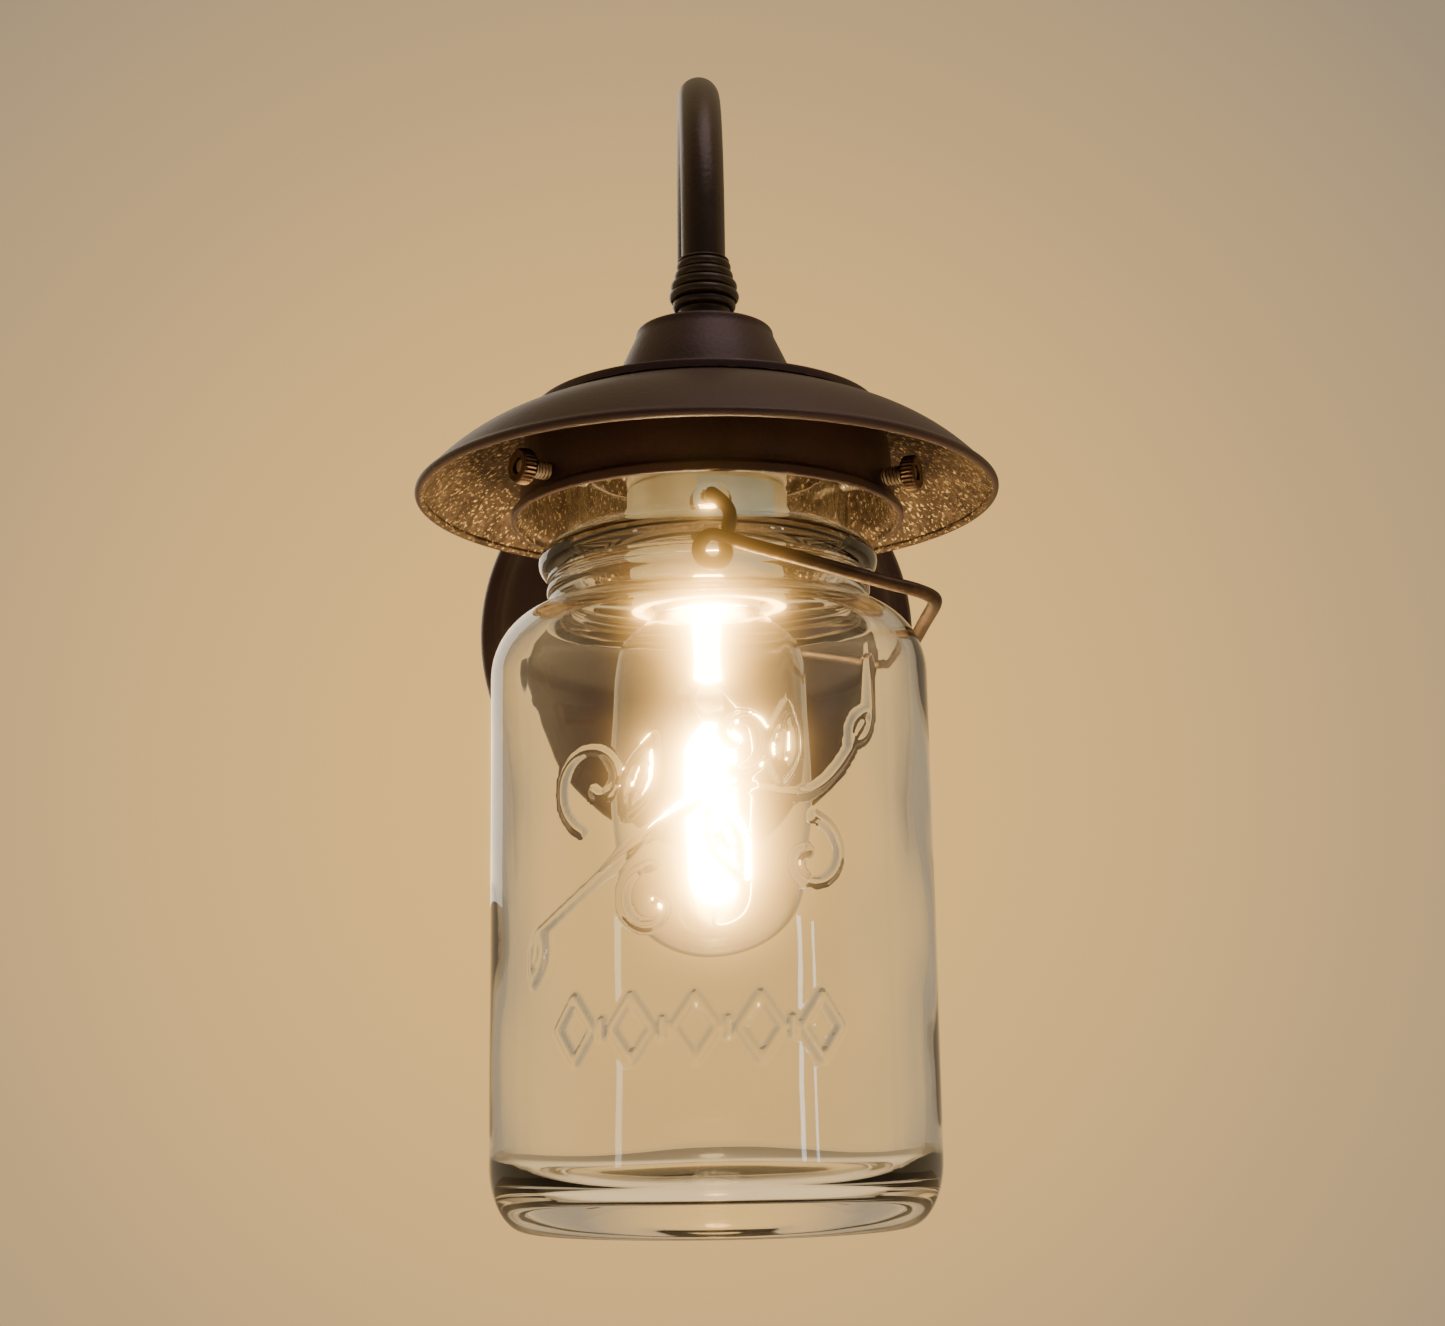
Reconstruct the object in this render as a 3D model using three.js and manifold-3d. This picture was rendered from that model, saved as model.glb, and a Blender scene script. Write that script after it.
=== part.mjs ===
// Gooseneck wall sconce with a bail jar for a shade.
//
// Frame: millimetres, +Z up. The wall is the plane y = 0 and the room is on its -Y side.
// The origin is the centre of the backplate, on the wall. The lamp hangs on a vertical axis
// in front of it, and everything on that axis is made in the group called lamp.
import * as THREE from 'three';
import { mergeVertices } from 'three/addons/utils/BufferGeometryUtils.js';
import Module from 'manifold-3d';

const wasm = await Module();
wasm.setup();

// ---------- driving dimensions ----------
const gap = 0.3; // left between two pieces that touch
const sheet = 1.2; // spun sheet metal

const lampReach = 145; // wall to lamp axis

const plateRadius = 63.5; // a 5 in backplate
const plateDepth = 20;
const plateWall = 1.5;
const studSpacing = 88.9; // 3.5 in, between the two studs
const studRadius = 2.1; // number 8 thread

const tubeRadius = 5.15; // 1/8 IP pipe
const tubeWall = 1;
const archRadius = 48.5; // centreline of the top arch
const archCentreZ = 69.8;
const wallBendRadius = 22; // centreline of the bend into the plate
const tubeFrontEndZ = 52.5;
const tubeInnerEndY = -11;

const nippleRadius = 4;
const nippleBore = 3;
const nippleBottomZ = 6.4;
const nippleTopZ = 52;

const crownRadius = 40.1;
const crownTopZ = 21.4;
const saucerRadius = 66.6;
const saucerRimZ = 1.1;
const saucerTopZ = 19;
const fitterLipRadius = 44.7;
const fitterLipZ = -5.2;
const fitterBandRadius = 42;
const fitterTopZ = 17.5;

const jarRadius = 49;
const jarBottomZ = -161.2;
const jarRimTopZ = 8;
const jarRimRadius = 32.3;
const jarNeckRadius = 35.9;
const jarWall = 3;
const beadRadius = 38.5;
const beadZ = -14.6;
const beadHalfHeight = 4;
const shoulder = { r: 34, z: -41.3, a: 15, b: 16 }; // centre and half axes of its quarter ellipse
const heel = { r: 41, z: -147.2, a: 8, b: 14 };
const pivotZ = -8.6; // lever wire pivots
const pivotBoss = { radius: 4.2, inner: 31, outer: 37 };
const pivotHole = { radius: 1.9, bottom: 33.4 };

const wireRadius = 1.5; // lever wire
const wirePlane = 40.6; // of each arm, from the lamp axis
const eyeRadius = 2.9; // centreline of the coiled eye
const eyeZ = -21.6;
const leverEnd = { x: 47.5, z: -31.2 };

const screwZ = 0.8; // thumb screws
const screwAngles = { left: -145, right: -25, back: 95 };
const screwTipRadius = 32.6;
const screwHeadRadius = 47.6; // inner face of the knob, from the lamp axis

const socketRadius = 18.5;
const socketBottomZ = -22.8;
const socketTopZ = 9;
const capRadius = 13.1; // E26 lamp cap
const capBottomZ = -24;
const capTopZ = -5;
const threadPitch = 3.63;
const bulbRadius = 22;
const bulbBottomZ = -103.4;

// ---------- materials ----------
const finish = (color, roughness, metalness, more = {}) =>
  new THREE.MeshStandardMaterial({ color, roughness, metalness, ...more });
const bronze = finish(0x3c2822, 0.42, 0.75);
const darkSteel = finish(0x4a4038, 0.45, 0.9);
const zincSteel = finish(0xb4b6b8, 0.35, 1);
const brass = finish(0xc49a4a, 0.3, 1);
const aluminium = finish(0xb9bbbe, 0.35, 1);
const creamPlastic = finish(0xe6dfc8, 0.55, 0);
const blackPlastic = finish(0x1a1a1a, 0.5, 0);
const whiteInsulation = finish(0xe8e6e0, 0.5, 0);
const orangePlastic = finish(0xc4622a, 0.5, 0);
const greenPaint = finish(0x2f7a45, 0.5, 0.2);
const clearGlass = finish(0xe9efe8, 0.04, 0, { transparent: true, opacity: 0.3 });
const glowingWire = finish(0xffd9a0, 0.4, 0.2, { emissive: 0xffb060 });

// ---------- solids ----------

// A geometry as a closed solid: only its places are kept, its doubled vertices are merged,
// triangles that have shrunk to a line go, and an inside-out one is turned.
function solidOf(geometry) {
  const bare = geometry.clone();
  for (const name of Object.keys(bare.attributes)) {
    if (name !== 'position') bare.deleteAttribute(name);
  }
  const welded = mergeVertices(bare, 1e-4);
  const places = welded.attributes.position;
  const corners = [];
  const a = new THREE.Vector3();
  const b = new THREE.Vector3();
  const c = new THREE.Vector3();
  let volume = 0;
  for (let i = 0; i < welded.index.count; i += 3) {
    const [p, q, r] = [0, 1, 2].map((k) => welded.index.getX(i + k));
    if (p === q || q === r || r === p) continue;
    corners.push(p, q, r);
    a.fromBufferAttribute(places, p);
    b.fromBufferAttribute(places, q);
    c.fromBufferAttribute(places, r);
    volume += a.dot(b.cross(c));
  }
  if (volume < 0) corners.reverse();
  return new wasm.Manifold(new wasm.Mesh({
    numProp: 3,
    vertProperties: new Float32Array(places.array),
    triVerts: new Uint32Array(corners),
  }));
}

function geometryOf(solid) {
  const { vertProperties, triVerts, numProp } = solid.getMesh();
  const places = new Float32Array((vertProperties.length / numProp) * 3);
  for (let i = 0; i < places.length / 3; i += 1) {
    for (let k = 0; k < 3; k += 1) places[i * 3 + k] = vertProperties[i * numProp + k];
  }
  const geometry = new THREE.BufferGeometry();
  geometry.setAttribute('position', new THREE.BufferAttribute(places, 3));
  geometry.setIndex(new THREE.BufferAttribute(triVerts, 1));
  geometry.computeVertexNormals();
  return geometry;
}

// Points of an elliptical arc in a profile, angles in degrees from the +r direction.
function arc(r, z, a, b, from, to, steps) {
  const points = [];
  for (let i = 0; i <= steps; i += 1) {
    const angle = THREE.MathUtils.degToRad(from + ((to - from) * i) / steps);
    points.push([r + a * Math.cos(angle), z + b * Math.sin(angle)]);
  }
  return points;
}

// A profile of [radius, height] turned about +Z. A profile off the axis is closed on itself.
function turned(profile, segments = 16) {
  const points = profile.map(([r, z]) => new THREE.Vector2(r, z));
  const onAxis = profile[0][0] === 0 && profile[profile.length - 1][0] === 0;
  if (!onAxis) points.push(points[0].clone());
  return new THREE.LatheGeometry(points, segments).rotateX(Math.PI / 2);
}

// A ring or a plain disc (inner radius 0) about +Z.
function ring(outer, inner, low, high, segments = 24) {
  const profile = inner > 0
    ? [[inner, low], [outer, low], [outer, high], [inner, high]]
    : [[0, low], [outer, low], [outer, high], [0, high]];
  return turned(profile, segments);
}

// The wall between an outer line and an inner line of a profile, both given bottom to top.
function shell(outer, inner) {
  return [...outer, ...inner.slice().reverse()];
}

// A round section, bored out when inner is given, carried along a curve.
function tube(curve, radius, steps, sides, inner = 0) {
  const circle = (r) => Array.from({ length: sides }, (_, i) => {
    const angle = (i / sides) * Math.PI * 2;
    return new THREE.Vector2(r * Math.cos(angle), r * Math.sin(angle));
  });
  const section = new THREE.Shape(circle(radius));
  if (inner > 0) section.holes.push(new THREE.Path(circle(inner)));
  return new THREE.ExtrudeGeometry(section, { extrudePath: curve, steps, curveSegments: sides });
}

function add(group, name, geometry, material) {
  const mesh = new THREE.Mesh(geometryOf(solidOf(geometry)), material);
  mesh.name = name;
  group.add(mesh);
}

function addSolid(group, name, solid, material) {
  const mesh = new THREE.Mesh(geometryOf(solid), material);
  mesh.name = name;
  group.add(mesh);
}

// ---------- curves ----------

// An arc in the plane x = offset, angles in degrees from the +Y direction towards +Z.
class SideArc extends THREE.Curve {
  constructor(offset, y, z, radius, from, to) {
    super();
    Object.assign(this, { offset, y, z, radius, from, to });
  }

  getPoint(t, target = new THREE.Vector3()) {
    const angle = THREE.MathUtils.degToRad(this.from + (this.to - this.from) * t);
    const y = this.y + this.radius * Math.cos(angle);
    const z = this.z + this.radius * Math.sin(angle);
    return target.set(this.offset, y, z);
  }
}

const rearLegY = -lampReach + 2 * archRadius;

// The centreline of the arm, moved sideways by offset, from the lamp end to the plate end.
function armLine(offset, frontEndZ, innerEndY) {
  const at = (y, z) => new THREE.Vector3(offset, y, z);
  const line = new THREE.CurvePath();
  line.add(new THREE.LineCurve3(at(-lampReach, frontEndZ), at(-lampReach, archCentreZ)));
  line.add(new SideArc(offset, -lampReach + archRadius, archCentreZ, archRadius, 180, 0));
  line.add(new THREE.LineCurve3(at(rearLegY, archCentreZ), at(rearLegY, wallBendRadius)));
  line.add(new SideArc(offset, rearLegY + wallBendRadius, wallBendRadius, wallBendRadius, 180, 270));
  line.add(new THREE.LineCurve3(at(rearLegY + wallBendRadius, 0), at(innerEndY, 0)));
  return line;
}

const object = new THREE.Group();

// ---------- wall end: plate, crossbar, studs, arm fixing ----------

// Things turned about the plate's axis: their height is the distance from the wall.
const wallSide = new THREE.Group();
wallSide.rotation.x = Math.PI / 2;
object.add(wallSide);

// Height of the plate's outside above the wall: a rolled edge, a step, then a shallow dome.
const plateEdge = [[plateRadius, 0], [plateRadius, 3.4], [61.6, 5.8], [58.6, 6.6]];
const plateDome = arc(0, 6.6, 57.4, plateDepth - 6.6, 12, 84, 5);
const plateOutside = [...plateEdge, ...plateDome];

function makeBackplate() {
  const bore = tubeRadius + gap;
  const outside = [...plateOutside, [bore, plateDepth]];
  const inside = [
    [plateRadius - plateWall, 0],
    [plateRadius - plateWall, 2.8],
    [60.7, 4.5],
    [57.6, 5.1],
    ...arc(0, 5.1, 56.2, plateDepth - 6.6, 12, 84, 5),
    [bore, plateDepth - plateWall],
  ];
  let plate = solidOf(turned(shell(outside, inside), 28));
  for (const side of [-1, 1]) {
    const hole = new THREE.CylinderGeometry(studRadius + gap, studRadius + gap, 60, 14);
    hole.rotateX(Math.PI / 2).translate(0, (side * studSpacing) / 2, 0);
    plate = plate.subtract(solidOf(hole));
  }
  addSolid(wallSide, 'backplate', plate, bronze);
}

// The crossbar lies on the wall inside the plate, with two slots for the box's screws.
const barLength = 106;
const barWidth = 19;
const barThick = 1.6;
const slotLength = 12;
const slotWidth = 4.6;
const slotPlaces = [-35, 35];
const groundScrewX = 6.6;
const groundScrewZ = 16;

function makeCrossbar() {
  const outline = new THREE.Shape();
  const [w, h] = [barWidth / 2, barLength / 2];
  outline.moveTo(-w, -h + 4);
  outline.lineTo(-w + 4, -h);
  outline.lineTo(w - 4, -h);
  outline.lineTo(w, -h + 4);
  outline.lineTo(w, h - 4);
  outline.lineTo(w - 4, h);
  outline.lineTo(-w + 4, h);
  outline.lineTo(-w, h - 4);
  const hole = (x, y, r) => new THREE.Path().absarc(x, y, r, 0, Math.PI * 2, true);
  outline.holes.push(hole(0, 0, 5.2));
  outline.holes.push(hole(groundScrewX, groundScrewZ, 1.8 + gap));
  for (const side of [-1, 1]) {
    outline.holes.push(hole(0, (side * studSpacing) / 2, studRadius + gap));
  }
  for (const y of slotPlaces) {
    const slot = new THREE.Path();
    const [a, b] = [slotLength / 2, slotWidth / 2];
    slot.moveTo(-a + b, y - b);
    slot.absarc(a - b, y, b, -Math.PI / 2, Math.PI / 2, false);
    slot.absarc(-a + b, y, b, Math.PI / 2, (3 * Math.PI) / 2, false);
    outline.holes.push(slot);
  }
  const bar = new THREE.ExtrudeGeometry(outline, { depth: barThick, bevelEnabled: false, curveSegments: 4 });
  add(wallSide, 'crossbar', bar, zincSteel);
}

// Outside height of the plate's dome at a radius.
const domeHeight = (r) => 6.6 + (plateDepth - 6.6) * Math.sqrt(1 - (r / 57.4) ** 2);

// One stud of each pair stands through the crossbar, with a cap nut on the plate's outside.
function makeStud(label, side) {
  const seat = domeHeight(studSpacing / 2 - 4.2) + gap;
  const at = new THREE.Group();
  at.position.y = (side * studSpacing) / 2;
  wallSide.add(at);
  const head = [[0, 0.2], [studRadius, 0.2], [studRadius, barThick + gap], [3.6, barThick + gap]];
  const shank = [[3.6, barThick + 2.6], [studRadius, barThick + 2.6], [studRadius, seat + 3], [0, seat + 3]];
  add(at, `stud_${label}`, turned([...head, ...shank], 14), zincSteel);
  const bore = studRadius + gap;
  const nut = [[bore, seat], [4.6, seat], [4.9, seat + 2], [4.6, seat + 4.4], [3.6, seat + 6.6]];
  const nutTop = [[1.8, seat + 8], [0, seat + 8.4], [0, seat + 4.6], [bore, seat + 4.2]];
  const profile = [...nut, ...nutTop];
  const half = profile.findIndex(([r]) => r === 0);
  const outer = profile.slice(0, half + 1);
  const inner = profile.slice(half + 1);
  add(at, `cap_nut_${label}`, turned([...inner, ...outer], 12), bronze);
}

// The arm goes through a hub on the plate's face and is drawn up by a locknut behind it.
function makeArmFixing() {
  const bore = tubeRadius + gap;
  const low = plateDepth + gap;
  const hubProfile = [
    [bore, low], [13, low], [13, low + 1.4], [11.2, low + 2.4], [9.4, low + 2.8],
    [8.2, low + 4.2], [6.8, low + 5.2], [bore, low + 5.2],
  ];
  add(wallSide, 'arm_hub', turned(hubProfile, 16), bronze);
  const top = plateDepth - plateWall - gap - 0.1;
  const washer = ring(9, bore, top - 1, top, 18);
  add(wallSide, 'arm_lock_washer', washer, zincSteel);
  const nut = new THREE.CylinderGeometry(8, 8, 4, 6).rotateX(Math.PI / 2);
  nut.translate(0, 0, top - 1 - gap - 2);
  const hole = new THREE.CylinderGeometry(bore, bore, 12, 18).rotateX(Math.PI / 2);
  hole.translate(0, 0, top - 3);
  addSolid(wallSide, 'arm_locknut', solidOf(nut).subtract(solidOf(hole)), zincSteel);
}

function makeGroundScrew() {
  const head = [[0, 0.2], [1.8, 0.2], [1.8, barThick + gap], [3.4, barThick + gap]];
  const top = [[3.4, barThick + 2], [2.6, barThick + 2.8], [0, barThick + 2.8]];
  const screw = turned([...head, ...top], 16);
  screw.translate(groundScrewX, groundScrewZ, 0);
  add(wallSide, 'ground_screw', screw, greenPaint);
}

makeBackplate();
makeCrossbar();
makeStud('upper', 1);
makeStud('lower', -1);
makeArmFixing();
makeGroundScrew();

// ---------- arm and the leads in it ----------

function makeArm() {
  const line = armLine(0, tubeFrontEndZ, tubeInnerEndY);
  add(object, 'arm_tube', tube(line, tubeRadius, 28, 8, tubeRadius - tubeWall), bronze);
}

// Each lead runs from a twist-on connector behind the plate, through the arm and the nipple,
// to its terminal in the socket.
const leadRadius = 1;
const leadOffset = 1.6;
const connector = { near: 15, far: 34, y: -7.6, radius: 5 };
const terminalX = 11;
const terminalTopZ = 3.4;

function makeLead(label, side, material) {
  const x = side * leadOffset;
  const route = [];
  route.push(new THREE.Vector3(side * (terminalX - 3.2), -lampReach, terminalTopZ));
  route.push(new THREE.Vector3(side * 5.4, -lampReach, terminalTopZ + 0.1));
  route.push(new THREE.Vector3(side * 3.4, -lampReach, nippleBottomZ - 2.2));
  route.push(new THREE.Vector3(x, -lampReach, nippleBottomZ + 0.4));
  route.push(...armLine(x, 12, tubeInnerEndY).getSpacedPoints(34));
  route.push(new THREE.Vector3(side * 4.2, connector.y - 0.4, 0));
  route.push(new THREE.Vector3(side * 9, connector.y, 0));
  route.push(new THREE.Vector3(side * (connector.near - gap), connector.y, 0));
  const curve = new THREE.CatmullRomCurve3(route, false, 'centripetal');
  add(object, `lead_${label}`, tube(curve, leadRadius, 50, 4), material);
}

// A ribbed cone with its mouth towards the lead.
function makeConnector(label, side, material) {
  const { near, far, radius } = connector;
  const profile = [
    [0, near], [radius - 0.6, near], [radius, near + 1.2], [radius, near + 6],
    [radius - 1.2, near + 11], [radius - 2, far - 1.4], [radius - 3, far], [0, far],
  ];
  const cone = turned(profile, 14).rotateY(side * (Math.PI / 2));
  cone.translate(0, connector.y, 0);
  add(object, `wire_connector_${label}`, cone, material);
}

makeArm();
makeLead('black', -1, blackPlastic);
makeLead('white', 1, whiteInsulation);
makeConnector('black', -1, orangePlastic);
makeConnector('white', 1, orangePlastic);

// ---------- lamp axis: coupling down to the fitter ----------

const lamp = new THREE.Group();
lamp.position.y = -lampReach;
object.add(lamp);

const nippleHole = nippleRadius + gap;

// A turned coupling of five beads over a plain neck, the lower three beads wider than the upper two.
const couplingBottomZ = 41.7;
const couplingTopZ = 59;
const couplingBeads = [[7.4, 47.7], [8.2, 49.9], [7.8, 52.4], [6.9, 54.9], [6.4, 57.2]];

function makeCoupling() {
  const outside = [[5.9, couplingBottomZ], [5.8, 46]];
  for (const [r, z] of couplingBeads) outside.push([r - 0.6, z - 0.95], [r, z - 0.4], [r, z + 0.4]);
  outside.push([6.1, 58.2], [6, couplingTopZ]);
  const seat = tubeFrontEndZ - gap;
  const inside = [
    [nippleHole, couplingBottomZ], [nippleHole, seat],
    [tubeRadius + gap, seat], [tubeRadius + gap, couplingTopZ],
  ];
  add(lamp, 'coupling', turned(shell(outside, inside), 14), bronze);
}

// The cup over the socket flares to its foot and has a rounded shoulder.
const cupTopZ = 41.4;

function makeCup() {
  const base = crownTopZ + gap;
  const outside = [
    [23.8, base], [23.4, 23.2], [21.4, 26.6], [19.7, 31.4], [17.5, 36.4],
    ...arc(13.2, 38.4, 3, 3, 5, 85, 3),
  ];
  const inside = outside.map(([r, z], i) => [r - sheet, i === 0 ? z : z - Math.min(1, i / 6) * sheet]);
  const top = cupTopZ;
  const profile = shell([...outside, [nippleHole, top]], [...inside, [nippleHole, top - sheet]]);
  add(lamp, 'socket_cup', turned(profile, 20), bronze);
}

function makeCrown() {
  const low = saucerTopZ + gap;
  const profile = [
    [nippleHole, low], [crownRadius, low], [crownRadius, crownTopZ - 0.7],
    [crownRadius - 0.7, crownTopZ], [nippleHole, crownTopZ],
  ];
  add(lamp, 'crown_plate', turned(profile, 28), bronze);
}

// The saucer's outside falls from a flat top in an even curve to a rolled rim.
function makeSaucer() {
  const rimRoll = 1.1;
  const fall = (t) => {
    const r = 40 + (saucerRadius - rimRoll - 40) * t;
    const z = saucerTopZ - (saucerTopZ - saucerRimZ - rimRoll) * (0.62 * t + 0.38 * t * t * t);
    return [r, z];
  };
  const slope = Array.from({ length: 6 }, (_, i) => fall(i / 5));
  const rim = arc(saucerRadius - rimRoll, saucerRimZ, rimRoll, rimRoll, 60, -150, 4);
  const under = slope.slice(0, 5).reverse().map(([r, z]) => [r - 0.4, z - sheet]);
  const profile = [
    [nippleHole, saucerTopZ], [38, saucerTopZ], ...slope.slice(0, 5), ...rim, ...under,
    [37.6, saucerTopZ - sheet], [nippleHole, saucerTopZ - sheet],
  ];
  add(lamp, 'saucer_shade', turned(profile, 36), bronze);
}

// The fitter is a cup that takes the jar's rim: a flat top, a straight band and a flared lip.
// Three threaded holes in the band take the thumb screws.
function makeFitter() {
  const outside = [
    [fitterLipRadius, fitterLipZ],
    [fitterLipRadius + 0.1, fitterLipZ + 1.2],
    [43.7, fitterLipZ + 2.6],
    [43.1, -0.6],
    [42.8, 4.5],
    [fitterBandRadius, 12],
    ...arc(38, 12.5, 4, fitterTopZ - 12.5, 15, 90, 2),
  ];
  const inside = [
    [fitterLipRadius - 1.1, fitterLipZ],
    [fitterLipRadius - 1.2, fitterLipZ + 1.2],
    [42.5, fitterLipZ + 2.8],
    [41.9, -0.6],
    [41.6, 4.5],
    [fitterBandRadius - sheet, 12],
    ...arc(37.6, 12.2, 3.2, fitterTopZ - sheet - 12.2, 15, 90, 2),
  ];
  const top = fitterTopZ;
  const profile = shell([...outside, [nippleHole, top]], [...inside, [nippleHole, top - sheet]]);
  let band = solidOf(turned(profile, 28));
  for (const angle of Object.values(screwAngles)) {
    const hole = new THREE.CylinderGeometry(studRadius + gap, studRadius + gap, 20, 12);
    hole.rotateZ(Math.PI / 2).translate(43, 0, 0);
    hole.rotateZ(THREE.MathUtils.degToRad(angle)).translate(0, 0, screwZ);
    band = band.subtract(solidOf(hole));
  }
  addSolid(lamp, 'fitter', band, bronze);
}

function makeNipple() {
  add(lamp, 'nipple', ring(nippleRadius, nippleBore, nippleBottomZ, nippleTopZ - gap, 18), zincSteel);
  const top = fitterTopZ - sheet - gap;
  const nut = new THREE.CylinderGeometry(7.6, 7.6, 3.4, 6).rotateX(Math.PI / 2);
  nut.translate(0, 0, top - 1.7);
  const hole = new THREE.CylinderGeometry(nippleHole, nippleHole, 10, 18).rotateX(Math.PI / 2);
  hole.translate(0, 0, top - 1.7);
  addSolid(lamp, 'nipple_nut', solidOf(nut).subtract(solidOf(hole)), zincSteel);
}

makeCoupling();
makeCup();
makeCrown();
makeSaucer();
makeFitter();
makeNipple();

// ---------- socket ----------

function makeSocket() {
  const inner = 15.3;
  const body = shell(
    [[socketRadius - 0.5, socketBottomZ], [socketRadius, socketBottomZ + 0.5], [socketRadius, 5.5],
      [socketRadius - 1.6, socketTopZ], [nippleHole, socketTopZ]],
    [[inner, socketBottomZ], [inner, socketTopZ - 3], [nippleHole, socketTopZ - 3]],
  );
  add(lamp, 'socket_body', turned(body, 18), creamPlastic);
  const shellProfile = [
    [13.7, -20.5], [14.9, -20.5], [14.9, 1], [8, 1], [8, 0.4], [13.7, 0.4],
  ];
  add(lamp, 'socket_screw_shell', turned(shellProfile, 16), brass);
  const contact = [[0, 0], [4.6, 0], [5.2, 0.5], [5.2, 0.9], [2, 1.1], [2, 2], [0, 2]];
  add(lamp, 'socket_contact', turned(contact, 16), brass);
  for (const [label, side, material] of [['brass', -1, brass], ['silver', 1, zincSteel]]) {
    const low = 1 + gap;
    const screw = turned([[0, low], [1.6, low], [1.6, 2.6], [2.4, 2.6], [2.4, 4.4], [0, 4.4]], 12);
    screw.translate(side * terminalX, 0, 0);
    add(lamp, `terminal_screw_${label}`, screw, material);
  }
}

makeSocket();

// ---------- thumb screws ----------

// Each is a threaded stud with a knurled knob on its outer end, on a radial axis in the band.
function makeThumbScrew(label, degrees) {
  const at = new THREE.Group();
  at.rotation.z = THREE.MathUtils.degToRad(degrees);
  at.position.z = screwZ;
  lamp.add(at);
  const stud = turned([
    [0, screwTipRadius], [studRadius - 0.7, screwTipRadius], [studRadius, screwTipRadius + 0.9],
    [studRadius, screwHeadRadius - 0.4], [1.5, screwHeadRadius], [1.5, screwHeadRadius + 2.6],
    [0, screwHeadRadius + 2.6],
  ], 14).rotateY(Math.PI / 2);
  add(at, `thumbscrew_stud_${label}`, stud, darkSteel);
  const teeth = 10;
  const outline = new THREE.Shape();
  for (let i = 0; i < teeth * 2; i += 1) {
    const angle = (i / (teeth * 2)) * Math.PI * 2;
    const radius = i % 2 === 0 ? 4 : 3.6;
    const [u, v] = [radius * Math.cos(angle), radius * Math.sin(angle)];
    if (i === 0) outline.moveTo(u, v);
    else outline.lineTo(u, v);
  }
  const knob = new THREE.ExtrudeGeometry(outline, {
    depth: 2.4, bevelThickness: 0.5, bevelSize: 0.5, bevelOffset: -0.5, bevelSegments: 1,
  });
  knob.rotateY(Math.PI / 2).translate(screwHeadRadius + 0.6, 0, 0);
  const bore = new THREE.CylinderGeometry(1.5 + gap, 1.5 + gap, 4, 14).rotateZ(Math.PI / 2);
  bore.translate(screwHeadRadius + 0.9, 0, 0);
  addSolid(at, `thumbscrew_knob_${label}`, solidOf(knob).subtract(solidOf(bore)), darkSteel);
}

for (const [label, degrees] of Object.entries(screwAngles)) makeThumbScrew(label, degrees);

// ---------- bulb ----------

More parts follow.
